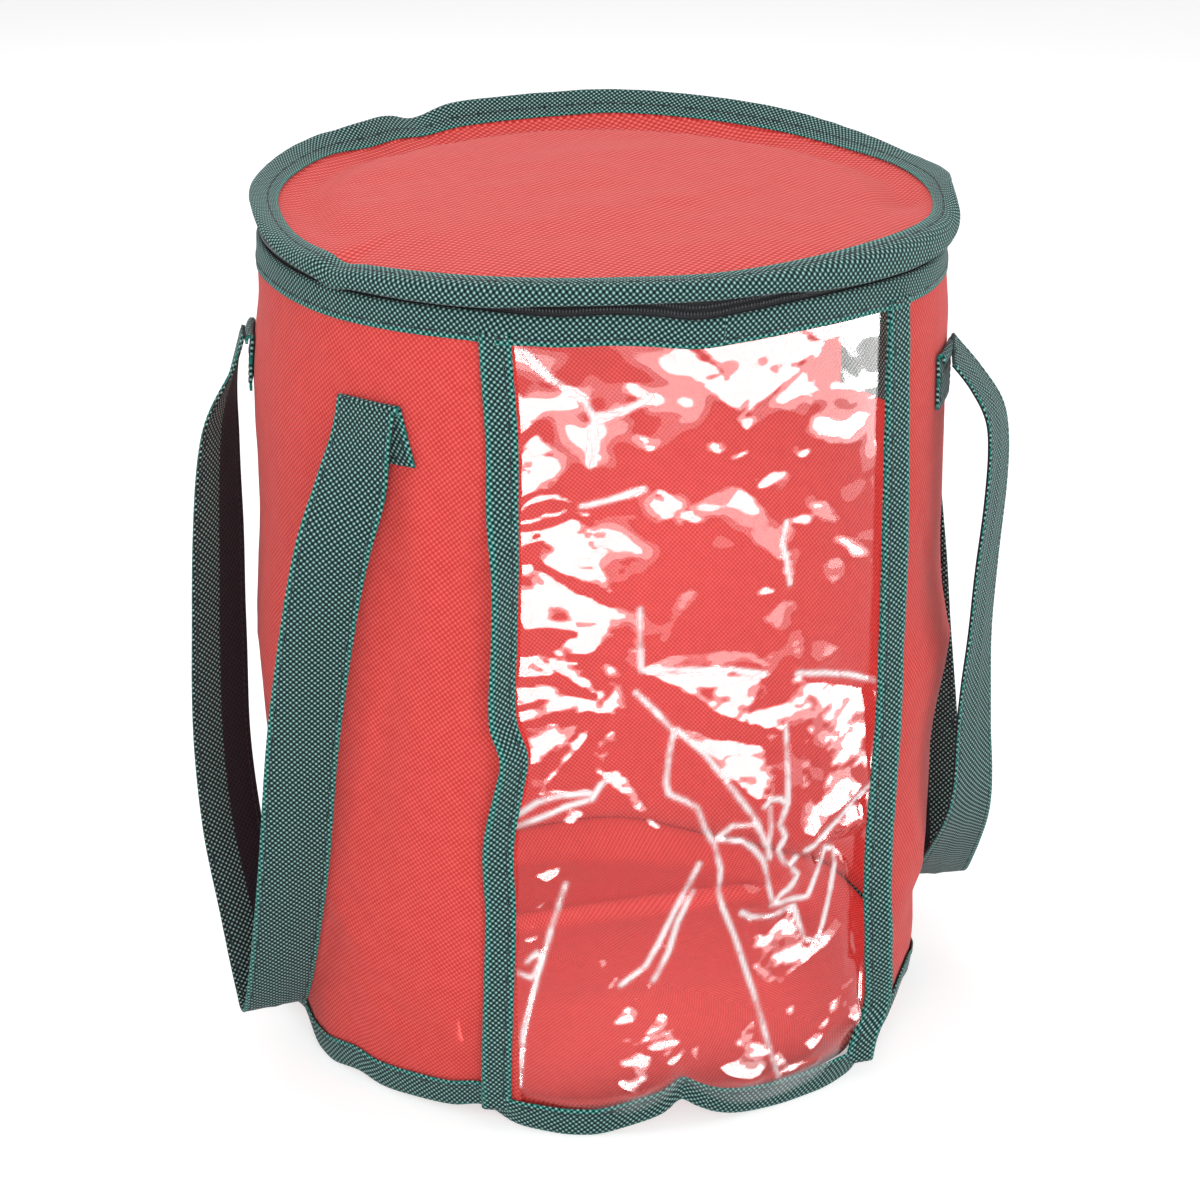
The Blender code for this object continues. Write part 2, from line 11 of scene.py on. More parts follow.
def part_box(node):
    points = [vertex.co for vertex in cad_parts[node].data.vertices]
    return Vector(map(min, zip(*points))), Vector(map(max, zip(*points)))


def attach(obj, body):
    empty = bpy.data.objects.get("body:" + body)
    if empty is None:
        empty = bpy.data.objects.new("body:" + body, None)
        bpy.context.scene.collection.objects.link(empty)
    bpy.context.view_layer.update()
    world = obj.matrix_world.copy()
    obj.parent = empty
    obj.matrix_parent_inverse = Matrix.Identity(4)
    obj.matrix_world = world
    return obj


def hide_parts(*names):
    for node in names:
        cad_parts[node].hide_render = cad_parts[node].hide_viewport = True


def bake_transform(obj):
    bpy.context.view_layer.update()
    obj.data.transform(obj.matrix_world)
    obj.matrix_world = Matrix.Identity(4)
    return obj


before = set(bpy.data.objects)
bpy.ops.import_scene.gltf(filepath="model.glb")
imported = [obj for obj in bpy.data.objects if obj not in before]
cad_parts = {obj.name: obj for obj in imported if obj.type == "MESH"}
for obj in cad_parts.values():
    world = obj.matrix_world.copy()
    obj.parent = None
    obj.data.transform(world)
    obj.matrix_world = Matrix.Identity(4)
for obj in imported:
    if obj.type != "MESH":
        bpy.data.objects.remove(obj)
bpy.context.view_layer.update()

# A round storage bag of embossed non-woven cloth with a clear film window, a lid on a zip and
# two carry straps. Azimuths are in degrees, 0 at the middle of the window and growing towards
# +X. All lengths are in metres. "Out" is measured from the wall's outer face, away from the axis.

# Places read from the frame
wall_low, wall_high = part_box("side_panel")
band_low, band_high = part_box("top_band")
lower_coil_low, lower_coil_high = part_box("zip_coil_lower")
upper_coil_low, upper_coil_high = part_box("zip_coil_upper")
lower_tape_low, lower_tape_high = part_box("zip_tape_lower")
hinge_low, hinge_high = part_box("lid_hinge_strip")
sewn_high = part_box("handle_left_end_front")[1]
patch_low, patch_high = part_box("patch_right_back")

# Wall
bag_radius = 0.150
foot_radius = 0.1415
tuck_height = 0.085
wall_foot = wall_low.z
wall_top = wall_high.z
cloth_thickness = 0.0008
film_thickness = 0.0004
tape_thickness = 0.0006
sag_height = 0.075
mouth_start = 0.325
wrinkle_depth, wrinkle_scale = 0.0011, 14.0
crinkle_depth, crinkle_scale = 0.00035, 60.0
wrinkles_end = 0.356
wrinkles_fade = 0.030

# Window
window_half_angle = 31.5
window_under_tape = 1.2

# How far the foot seam is lifted off the floor, and how far it stands out, by azimuth
foot_lift_points = (
    (-165, 0.000), (-150, 0.004), (-135, 0.000), (-118, 0.005), (-102, 0.000),
    (-87.8, 0.0085), (-80, 0.000), (-74, 0.000), (-66.2, 0.0032), (-61, 0.001),
    (-53.9, 0.002), (-44.9, 0.0039), (-38.7, 0.0075), (-33.3, 0.0021), (-28.3, 0.0007),
    (-20, 0.000), (-12.9, 0.0035), (-7.5, 0.0077), (-4.6, 0.0132), (-2.2, 0.0095),
    (1.5, 0.0046), (6.5, 0.0014), (15, 0.000), (26, 0.000), (33, 0.001), (37.4, 0.0086),
    (41.8, 0.0059), (45.5, 0.0074), (50.6, 0.0118), (58, 0.0148), (66, 0.008), (76, 0.001),
    (92, 0.000), (108, 0.006), (122, 0.001), (140, 0.000), (157, 0.005), (176, 0.001),
)
foot_flare_points = (
    (-150, 0.000), (-125, 0.001), (-102, 0.0050), (-88, 0.001), (-73, 0.0023), (-60, 0.000),
    (-40, 0.000), (-24, 0.0030), (-8, 0.000), (10, 0.0012), (24, 0.002), (38, 0.000),
    (60, 0.001), (85, 0.003), (110, 0.000), (140, 0.002), (170, 0.000),
)
mouth_flare_points = (
    (-150, 0.000), (-125, -0.0030), (-101, -0.0046), (-80, -0.0034), (-60, -0.0006), (-20, 0.000),
    (20, 0.000), (44, -0.0004), (64, -0.0030), (80, -0.0034), (100, -0.0020), (125, 0.000),
)
# Waves of the zip and of the band's upper edge
mouth_lift_points = (
    (-130, 0.000), (-90, 0.0004), (-60, -0.0004), (-38, 0.0002), (-25, -0.0008), (-17, 0.0003),
    (-11, -0.0006), (-4, -0.0030), (3, -0.0016), (12, 0.0002), (26, 0.0008), (45, -0.0002),
    (75, 0.0004), (130, 0.000),
)

# Broad swells of the wall: azimuth, height, half width in degrees, half height, out
wall_swells = (
    (64, 0.176, 20, 0.026, 0.0060),
    (66, 0.052, 22, 0.018, -0.0034),
    (-101, 0.336, 22, 0.022, -0.0034),
    (-101, 0.185, 26, 0.045, 0.0026),
    (-70, 0.255, 16, 0.060, 0.0016),
    (-46, 0.130, 9, 0.055, 0.0015),
    (130, 0.190, 26, 0.022, 0.0030),
    (-150, 0.182, 24, 0.020, 0.0030),
    (178, 0.176, 18, 0.024, 0.0024),
    (150, 0.075, 22, 0.030, -0.0020),
    (-140, 0.280, 22, 0.050, -0.0020),
    (95, 0.270, 20, 0.045, -0.0016),
)
# Soft folds of the wall: two ends as azimuth and height, half width, out
wall_folds = (
    (-48, 0.286, -45, 0.205, 0.007, 0.0012),
    (-43, 0.290, -40, 0.222, 0.006, -0.0011),
    (-52, 0.240, -58, 0.110, 0.008, -0.0016),
    (-36.5, 0.262, -35.5, 0.190, 0.005, -0.0016),
    (-41, 0.120, -37, 0.060, 0.006, 0.0010),
    (-78, 0.344, -60, 0.330, 0.003, 0.0008),
    (-80, 0.337, -66, 0.322, 0.003, -0.0007),
    (-70, 0.347, -64, 0.336, 0.0025, 0.0007),
    (-76, 0.120, -58, 0.050, 0.008, 0.0012),
    (-66, 0.070, -48, 0.030, 0.006, -0.0010),
    (40, 0.181, 84, 0.178, 0.0035, 0.0009),
    (44, 0.250, 58, 0.200, 0.006, -0.0010),
    (46, 0.110, 62, 0.060, 0.007, 0.0012),
    (-170, 0.182, -95, 0.180, 0.0035, 0.0008),
    (100, 0.180, 170, 0.180, 0.0035, 0.0008),
    (120, 0.300, 135, 0.205, 0.007, -0.0014),
    (150, 0.310, 160, 0.200, 0.008, 0.0014),
    (-160, 0.140, -140, 0.040, 0.008, 0.0014),
    (-125, 0.300, -115, 0.215, 0.006, 0.0012),
    (168, 0.120, 176, 0.040, 0.007, -0.0012),
)

# Band over the wall's upper edge
band_fold_radius = 0.0010
band_outer_leg = 0.0106
band_stitch_rise = 0.0026
band_gather_depth = 0.0004
band_gather_radius = 6.0
band_over_strips = 0.0026
band_bulge_beside, band_bulge_half_angle = 2.4, 3.2
band_drape = 1.4

# Folded tapes over the window's side seams: root azimuth by height, and lean off the wall
strip_width = 0.0118
strip_fold_radius = 0.0007
strip_proud = 0.0016
strip_foot = 0.0075
strip_top = 0.3525
strip_stitch_in = 0.0030
strip_wave_depth = 0.0005
strip_wave_scale = 45.0
left_strip_root = (
    (0.000, -33.6), (0.020, -33.3), (0.060, -32.4), (0.106, -31.7), (0.136, -31.9),
    (0.165, -30.2), (0.178, -29.6), (0.194, -31.4), (0.236, -31.1), (0.304, -30.5),
    (0.352, -31.4),
)
right_strip_root = (
    (0.000, 29.6), (0.018, 29.6), (0.034, 32.6), (0.060, 31.0), (0.095, 29.8), (0.148, 30.6),
    (0.184, 31.2), (0.225, 31.3), (0.281, 30.8), (0.352, 30.8),
)
left_strip_lean = (
    (0.000, 8), (0.050, 8), (0.100, 12), (0.125, 16), (0.150, 28), (0.175, 42), (0.200, 50),
    (0.240, 54), (0.262, 46), (0.290, 14), (0.320, 8), (0.352, 6),
)
right_strip_lean = (
    (0.000, 30), (0.035, 30), (0.060, 34), (0.110, 30), (0.160, 24), (0.200, 18), (0.250, 22),
    (0.290, 16), (0.325, 10), (0.352, 5),
)

# Tape folded round the foot seam
foot_tape_outer_leg = 0.0122
foot_tape_inner_leg = 0.0070
foot_tape_fold_radius = 0.0014
foot_stitch_drop = 0.0026
foot_over_strips = 0.0020
foot_bulge_height = 0.010
foot_bulge_beside, foot_bulge_half_angle = 2.2, 3.4
foot_bulge_drape = 1.5
foot_spread = 0.0003

# Floor
floor_flat_radius = 0.116
floor_seam_radius = 0.1398
floor_seam_height = 0.0112
floor_under_tape = 0.004
floor_fold_reach = 0.100
floor_fold_fade = 0.035
floor_wrinkle_depth, floor_wrinkle_scale = 0.0006, 30.0
# Two ends as x and y, half width, up
floor_folds = (
    (-0.110, 0.060, 0.118, 0.055, 0.0050, 0.0052),
    (-0.105, 0.049, 0.112, 0.043, 0.0060, -0.0006),
    (-0.060, -0.020, 0.075, -0.035, 0.0120, 0.0010),
    (0.040, -0.100, 0.095, 0.020, 0.0100, 0.0012),
)

# Zip
zip_reach = 159.0
upper_zip_start = -156.0
upper_zip_end = 146.0
upper_tape_start = -157.5
upper_tape_end = 157.0
hinge_cloth_start = 156.0
hinge_cloth_end = 203.5
hinge_wave_depth = 0.0004
hinge_upright_share = 0.55
tooth_pitch = 0.0013
tooth_width = 0.00052
tooth_depth = 0.0011
tooth_out = 0.0011
tooth_overlap = 0.62
zip_tape_thickness = 0.0005
zip_under_band = 0.002
zip_under_lid = 0.004
zip_upright_run = 0.0035

# Lid and its rim, turned up at the back and down at the front, as in the frame
lid_seam_radius = 0.1460
lid_seam_height = 0.3745
lid_crown = 0.0035
lid_dish = 0.0042
lid_dish_reach = 0.013
lid_dish_width = 0.010
lid_under_tape = 0.008
lid_fold_depth = 0.0016
lid_calm_edge = 0.020
lid_sewn_edge = 0.006
lid_wrinkle_depth, lid_wrinkle_scale = 0.0005, 42.0
rim_knee_length = 0.0078
rim_bend_length = 0.0050
rim_front_length = 0.0146
rim_back_length = 0.0112
rim_front_knee_angle = -8.0
rim_front_hem_angle = -84.0
rim_left_turn = (-60.0, -96.0)
rim_right_turn = (46.0, 70.0)
rim_half = 0.0011
rim_stitch_in = 0.0048
rim_gather_depth = 0.00035
rim_gather_radius = 14.0
rim_wave_depth = 0.0009
rim_wave_radius = 3.4
hung_cloth_in = 0.0015
rim_path_steps = 18
# The rim and the lid's seam by azimuth
rim_slope_points = (
    (-180, 57), (-171, 57), (-164, 34), (-158, 52), (-151, 58), (-146, 45), (-138, 36),
    (-122, 24), (-105, 20), (-88, 20), (-60, 20), (45, 34), (62, 42), (74, 30), (84, 16),
    (94, 11), (110, 28), (130, 48), (145, 53), (158, 55), (168, 57),
)
seam_radius_points = (
    (-180, 0.1458), (-166, 0.1448), (-158, 0.1440), (-150, 0.1418), (-141, 0.1420),
    (-124, 0.1378), (-95, 0.1372), (-75, 0.1416), (-60, 0.1452), (-40, 0.1460), (30, 0.1460),
    (48, 0.1448), (60, 0.1420), (80, 0.1396), (93, 0.1396), (108, 0.1394), (130, 0.1434),
    (158, 0.1460),
)
seam_lift_points = (
    (-180, 0.0023), (-171, 0.0012), (-164, -0.0012), (-158, -0.0004), (-150, -0.0012),
    (-140, -0.0004), (-122, -0.0005),
    (-95, -0.0022), (-75, -0.0040), (-66, -0.0042), (-62, -0.0062), (-57, -0.0048),
    (-41, -0.0032), (-15, -0.0016), (0, -0.0015), (18, 0.0004), (30, 0.0012), (45, 0.0008),
    (62, 0.000), (93, 0.000), (110, 0.0004), (130, 0.0022), (158, 0.0047), (170, 0.0034),
)
hem_reach_points = (
    (-100, 0.000), (-60, -0.0022), (-45, -0.0010), (-34, -0.0006), (-26, -0.0016),
    (-16, -0.0020), (-4, -0.0022), (8, -0.0016), (14, 0.0004), (24, 0.0020), (40, 0.0018),
    (50, -0.0006), (59, -0.0034), (68, -0.0022), (84, 0.000), (150, 0.000),
)

# Carry straps
strap_width = 0.030
strap_thickness = 0.0018
strap_front_azimuth = 55.3
strap_back_azimuth = 104.0
strap_fold_height = sewn_high.z
strap_drop = 0.2960
strap_fold_radius = 0.0012
fold_radius = 0.1536
sewn_length = 0.0240
sewn_box_share = 0.62
sewn_row_rise = 0.0028
sewn_stitch_in = 0.0026
strap_end_tilts = {("left", "front"): 15.0, ("right", "front"): 4.0}
strap_steps = 9
strap_stitch_in = 0.0024
strap_stitch_lie = 0.00066
strap_wave_depth = 0.0007
strap_crease_depth = 0.0005
strap_crease_width = 0.0015
# Half of a strap's section, across and deep, with the groove that its stitches pull in
strap_half_profile = (
    (0.0000, 0.00090), (0.0040, 0.00092), (0.0080, 0.00090), (0.0108, 0.00090),
    (0.0119, 0.00080), (0.0126, 0.00062), (0.0133, 0.00080), (0.0142, 0.00088),
    (0.0148, 0.00066), (0.0150, 0.00020),
)
# A strap's way: along the line between its ends, out in strap widths, down as a share of the
# drop, and its turn: 0 flat on the wall in front, 1 with its edge out, 2 flat at the back
left_route_shares = (
    (-1.00, 0.00, 0.004, 0.00),
    (-1.00, 0.10, 0.055, 0.04),
    (-1.01, 0.28, 0.120, 0.34),
    (-1.00, 0.55, 0.200, 0.50),
    (-0.90, 0.70, 0.310, 0.56),
    (-0.70, 0.82, 0.500, 0.62),
    (-0.50, 0.86, 0.710, 0.70),
    (-0.25, 0.84, 0.870, 0.84),
    (-0.03, 0.78, 0.960, 0.92),
    (0.14, 0.72, 0.999, 0.96),
    (0.31, 0.68, 0.974, 1.00),
    (0.50, 0.70, 0.880, 1.06),
    (0.76, 0.72, 0.760, 1.14),
    (0.89, 0.72, 0.620, 1.20),
    (0.92, 0.66, 0.460, 1.26),
    (0.94, 0.58, 0.300, 1.34),
    (0.98, 0.44, 0.150, 1.56),
    (1.00, 0.16, 0.055, 1.94),
    (1.00, 0.00, 0.004, 2.00),
)
right_route_shares = (
    (-1.00, 0.02, 0.004, 0.00),
    (-1.00, 0.365, 0.046, 0.00),
    (-1.03, 0.62, 0.090, 0.03),
    (-1.03, 0.72, 0.140, 0.07),
    (-1.03, 0.72, 0.215, 0.10),
    (-1.03, 0.64, 0.330, 0.13),
    (-1.03, 0.58, 0.450, 0.17),
    (-1.01, 0.57, 0.575, 0.28),
    (-0.96, 0.62, 0.675, 0.38),
    (-0.80, 0.64, 0.755, 0.50),
    (-0.50, 0.66, 0.835, 0.66),
    (-0.10, 0.72, 0.912, 0.86),
    (0.26, 0.82, 0.958, 1.00),
    (0.50, 0.90, 0.960, 1.10),
    (0.72, 0.98, 0.900, 1.24),
    (0.88, 0.98, 0.770, 1.40),
    (0.95, 0.86, 0.600, 1.55),
    (0.97, 0.72, 0.420, 1.68),
    (0.98, 0.52, 0.240, 1.82),
    (0.99, 0.30, 0.130, 1.92),
    (1.00, 0.12, 0.060, 2.00),
    (1.00, 0.00, 0.004, 2.00),
)
patch_width = 0.038
sewn_gap = 0.0003
sewn_cloth_thickness = strap_thickness * 0.66

# Cloth: its lattice's turn in degrees, its fibres and mottling, and the bare edge of a tape
lattice_turn = 6.0
fibre_scale = 1900.0
mottle_scale = 140.0
edge_width = 0.0012
edge_fade_end = 0.0021
# Place across a strap's inner face where its plum painted shade begins
strap_inner_middle = 0.100

# Stitching
stitch_pitch = 0.0034
stitch_length = 0.0029
thread_width = 0.00075
thread_depth = 0.00045

# The film's creases, in degrees of azimuth and millimetres of height. Glints mirror the bright
# cards, ghosts the dim ones, and lines are glints a crease wide. Still parts hardly lean.
film_glints = (
    ((-6.5, 349), (-4.5, 345), (-1, 338), (0.7, 331), (2.8, 320), (0, 325), (-2, 331), (-5.5, 344)),
    ((4, 350), (5.6, 350), (5, 345), (3.8, 343)),
    ((7, 352), (8.3, 344), (9.3, 340), (9, 333), (5, 323), (3.2, 318), (8, 325), (12, 333),
     (16.8, 342), (13, 345), (10.5, 349), (9.5, 352)),
    ((14, 350), (22, 350), (22.5, 346), (20, 344), (17, 343.5), (14.5, 346)),
    ((3.2, 317), (3.9, 317), (4.3, 311), (3.5, 312)),
    ((-24, 333), (-22.5, 331.5), (-20, 324.5), (-21.5, 325.5)),
    ((-14.6, 334), (-13.2, 333), (-12, 328), (-13.3, 328.5)),
    ((-13.2, 312), (-12, 311.5), (-10.4, 307), (-11.2, 306)),
    ((-1.8, 308), (-1, 308), (-0.1, 303), (-1.2, 304)),
    ((0.8, 298), (2.3, 301), (4, 303.5), (3.8, 302), (2.5, 300.5)),
    ((5.8, 286), (6.6, 290), (9, 293), (11, 292), (9, 288)),
    ((12.8, 298), (14, 300.7), (15, 299), (14, 296.5)),
    ((12, 270), (14, 271.7), (16, 269.5), (15.5, 266.3), (13.5, 268)),
    ((29.6, 296), (31.6, 299), (31.6, 292), (30, 294.5)),
    ((6, 240.5), (8, 244.5), (9.6, 242.5), (9.6, 240.5)),
    ((-10.5, 289.5), (-8.5, 288), (-6.5, 281), (-8.9, 277), (-8.6, 284)),
    ((-6.2, 279.5), (-4, 278), (-3.5, 275.5), (-5, 275)),
    ((-31.8, 329), (-30.2, 328), (-29.3, 322), (-28.5, 316), (-30.5, 311), (-31.8, 304)),
    ((-29.8, 308), (-28.2, 313), (-26.4, 309), (-26, 305.5), (-28.5, 305.5)),
    ((-31.8, 300), (-30, 304), (-28.2, 306), (-28.4, 290), (-31.8, 282)),
    ((-26.6, 305), (-25.8, 303), (-25.3, 290.5), (-26.8, 290)),
    ((-31.8, 280), (-28, 286.5), (-25.3, 289.5), (-21.3, 282), (-23, 283.5), (-25.5, 286.8),
     (-28, 284), (-31.8, 277.5)),
    ((-31.8, 275.2), (-27, 279.5), (-23.5, 282), (-20.5, 280.5), (-24, 279.8), (-31.8, 273.6)),
    ((-31.8, 271), (-27, 274), (-24, 276.5), (-22.6, 280), (-21.2, 275), (-19.8, 266), (-18.6, 256),
     (-16.4, 246.5), (-22, 252.5), (-27.5, 258.8), (-26.2, 263), (-26.7, 269), (-31.8, 264)),
    ((-31.8, 257), (-28.9, 258.5), (-28.6, 250), (-27.5, 250), (-27.4, 256.5), (-22, 248),
     (-17.5, 242), (-16.2, 240), (-17, 234), (-18.4, 226), (-19.2, 221.5), (-24, 220), (-26, 222),
     (-22, 230.5), (-25, 233.5), (-28, 232), (-31.8, 227)),
    ((-31.8, 219), (-28, 220), (-26, 217.5), (-25.6, 212.5), (-28, 211), (-31.8, 210.5)),
    ((-28, 221.5), (-24.5, 220), (-21.8, 218), (-21.2, 213), (-18, 206), (-18.8, 203), (-21.5, 208),
     (-24.2, 212.5), (-26, 218.5)),
    ((-18.8, 224), (-17, 218.5), (-15.5, 213.5), (-15.4, 207), (-16, 195.5), (-17.6, 196),
     (-18, 200), (-16.6, 208), (-17.5, 217)),
    ((-31.8, 206), (-28, 208.5), (-25, 209), (-24.8, 203), (-27, 201), (-31.8, 198)),
    ((-31.8, 196), (-28, 199.5), (-24, 202.5), (-19, 203), (-19, 198.5), (-16, 197.5), (-16.3, 195),
     (-20, 197), (-25, 195), (-28, 191.7), (-31.8, 191.5)),
    ((-30.3, 190.5), (-26, 192), (-25, 191), (-25, 184), (-26.5, 178), (-27, 174.5), (-31.8, 171),
     (-30.3, 180)),
    ((-21.6, 189), (-20.3, 189), (-22, 181), (-24.4, 173), (-26.2, 166), (-26.6, 162.5), (-22, 162),
     (-20, 162.5), (-21.5, 160), (-26, 159), (-28, 161), (-27.3, 166), (-25.5, 174), (-23, 184)),
    ((-17.8, 186), (-16.8, 189.5), (-16.2, 188), (-17, 181), (-17, 174), (-17.4, 169), (-19.2, 171),
     (-18.2, 181)),
    ((-16.8, 173.5), (-15.6, 173), (-14.2, 166), (-11.5, 155), (-8.5, 143.5), (-10, 145.5),
     (-13.8, 155), (-17, 168.5)),
    ((-24.2, 150), (-23, 153.7), (-21.5, 154.7), (-21.2, 152), (-22.5, 148.3), (-23.8, 148.5)),
    ((-29, 124), (-26.5, 127), (-24.5, 129.5), (-25, 124), (-27, 120.5)),
    ((-12, 213.5), (-6, 211.8), (0, 209.8), (7.8, 206.3), (7.5, 200), (5.2, 196), (4.5, 187),
     (2, 190), (-0.5, 194.5), (-3, 200), (-7, 207)),
    ((5, 190), (9, 191.5), (12.5, 192.5), (12.5, 186), (11.8, 181.5), (8, 183), (5, 186)),
    ((14, 202.5), (16, 199.5), (24, 192), (31.8, 184), (31.8, 147), (25, 140.5), (20, 136),
     (16.8, 129), (15.2, 133), (15.4, 145), (15, 155), (15, 165), (16, 176), (14, 192)),
    ((-5, 187.5), (0, 181.5), (5, 178), (8, 175.3), (9.2, 165), (9.8, 154), (8, 151), (6.2, 152),
     (3.5, 160), (0.5, 169), (-2.5, 179)),
    ((17, 126), (21, 130.8), (26, 136.3), (31.8, 139), (31.8, 124), (28, 127.5), (24.5, 128),
     (22.5, 131.5), (19.5, 126)),
    ((-30.7, 92), (-30, 100), (-28.5, 102), (-28.4, 93.5)),
    ((-29.6, 104), (-28.5, 110), (-26.6, 113), (-27.5, 106), (-29.2, 101.5)),
    ((-18.9, 83), (-18.3, 88), (-17.4, 85), (-17.7, 81.3)),
    ((-18, 70), (-17, 75), (-15.8, 79), (-15.5, 77.5), (-16.5, 71)),
    ((-12.2, 70), (-15, 62.5), (-16.1, 55), (-16.1, 45), (-15.5, 35), (-15, 28), (-13.8, 21),
     (-10.8, 21), (-10.4, 30), (-10.5, 38), (-12.7, 42), (-13, 49), (-12, 60)),
    ((-10.5, 52), (-9.5, 56), (-8.5, 58.5), (-7.7, 57), (-7.2, 47), (-5.7, 40), (-5.8, 30),
     (-7, 29), (-8.6, 40), (-10.5, 41), (-11.3, 45)),
    ((-11.4, 73), (-10.3, 75.3), (-9.9, 71.5), (-11, 71)),
    ((4.8, 101), (6.5, 96), (8.5, 92), (9.5, 86.5), (12, 91), (15, 95), (15.8, 88), (16.6, 80),
     (18, 77), (21, 78.5), (17, 70), (13, 64), (11.3, 58), (11, 50), (13.5, 26), (20.5, 21),
     (12, 21), (10.6, 30), (9.6, 45), (8.6, 60), (7, 76), (5.2, 91)),
    ((22, 119.5), (24.5, 118.5), (27, 110), (28.3, 100), (28.5, 85), (29.2, 72), (31, 60), (31, 37),
     (28.5, 31), (26.6, 35), (25.6, 42), (25.7, 55), (26, 75), (27.3, 90), (26.6, 103),
     (25.3, 112)),
    ((12.8, 51), (14.8, 54.7), (15.4, 48), (15.8, 38), (14.5, 42), (13.5, 47)),
    ((21.5, 48), (24, 48), (24, 41), (22.5, 40.5), (21.5, 43)),
    ((16.8, 31), (19, 36), (22.6, 42), (22.6, 39), (20.5, 32), (18, 26)),
    ((3.8, 40), (6, 47), (7.5, 51), (8.3, 42), (9.5, 34), (9.2, 26), (7.5, 21.8), (5, 21.3),
     (2, 24), (1.3, 29), (4, 32), (5, 36)),
    ((-3.3, 29), (-2.9, 38), (-2.1, 37.5), (-2.5, 28)),
)
film_glint_gaps = (
    ((-2.3, 205.5), (-0.4, 204.5), (-0.5, 197), (-2, 199)),
    ((16, 195), (19.5, 188), (20.2, 178), (20, 170), (21, 162), (19.8, 153), (19, 144), (17.5, 142),
     (16.4, 150), (16.3, 165), (17.5, 180)),
    ((25.7, 154), (28, 154.5), (29.8, 147), (28.5, 144.5), (26.5, 148)),
    ((-28.2, 214), (-27.5, 216), (-26.8, 214.5), (-27.5, 213)),
    ((-27.2, 194.5), (-22, 198.6), (-22, 197.2), (-26.5, 192.8)),
)
film_ghosts = (
    ((-4.8, 281), (-1, 287), (1.5, 289.5), (4, 287), (6, 280), (9, 270), (10, 262), (9.5, 255),
     (7, 262), (4, 268.5), (2, 271), (0.5, 276)),
    ((-19.5, 277), (-17, 280.5), (-12.8, 280.5), (-13.2, 274), (-12.3, 268), (-12.8, 262),
     (-16, 262.5), (-14.5, 267.5), (-17, 270.5)),
    ((-14.5, 262), (-13, 261), (-12.3, 250), (-12, 240), (-13, 244), (-14, 252)),
    ((-7.5, 240), (-6.3, 246.5), (-4, 247.5), (-4.5, 243), (-6.5, 235), (-8, 226), (-9, 221),
     (-8.5, 230)),
    ((-11.5, 215.5), (-8, 219.5), (0, 220), (6, 217), (8.5, 210), (3, 212.5), (-5, 214.5)),
    ((14.5, 326), (17, 330.5), (20, 328), (25, 317), (24, 313), (20, 321)),
    ((8.5, 322), (10, 329), (12, 327), (15, 318), (14, 313), (10, 318)),
    ((15.5, 314), (18, 311), (20, 303), (19.5, 298), (17, 303)),
    ((19.8, 299), (23, 306), (24, 312), (27, 303), (25, 297.5)),
    ((15.7, 275), (19, 275.5), (21.5, 267), (21, 264), (18, 267.5)),
    ((20.5, 261), (24, 256), (28.5, 248.5), (27.5, 246.5), (25, 247.5), (22.5, 255)),
    ((20, 250), (23, 249), (23.3, 241), (20.5, 238), (19, 243)),
    ((17, 209), (17.5, 215), (18.5, 218), (18.2, 240), (19.2, 218), (21, 213), (24, 209), (22, 207),
     (18, 205)),
    ((9, 231), (11, 238), (13.5, 236), (14.3, 224), (14.8, 206), (12, 222), (10, 224)),
    ((-31.5, 154), (-28, 164), (-23, 180), (-20, 190), (-16.5, 194), (-19, 194.5), (-24, 190.5),
     (-26, 175), (-30.5, 167)),
    ((-18.5, 162), (-16.8, 169), (-17.3, 160), (-19.5, 142), (-21.5, 128), (-22.5, 133),
     (-20, 150)),
    ((15, 63), (18, 58), (20, 52), (19, 50.5), (15.5, 59.5)),
    ((1.8, 117), (5, 116), (9.3, 110), (9, 103), (5.2, 102), (2.4, 106)),
    ((17, 70), (21, 79), (25, 87), (27, 89), (26.5, 80), (22, 74)),
    ((-14.8, 75), (-11, 79), (-8.2, 90), (-6, 104), (-4, 115), (-5.5, 110), (-8.5, 98),
     (-11.5, 86)),
    ((-9.5, 76), (-7, 85), (-4.5, 102), (-1.8, 119), (-3, 114), (-5.5, 99), (-7.6, 87)),
    ((7.5, 181), (11.5, 181), (10.5, 178), (8.2, 175.5)),
)
film_still = (
    ((-4.2, 352), (6.8, 352), (8.0, 344), (4.4, 326), (1.4, 332)),
    ((20.5, 342), (22.8, 352), (33, 352), (33, 316), (27.5, 316), (22, 330)),
)
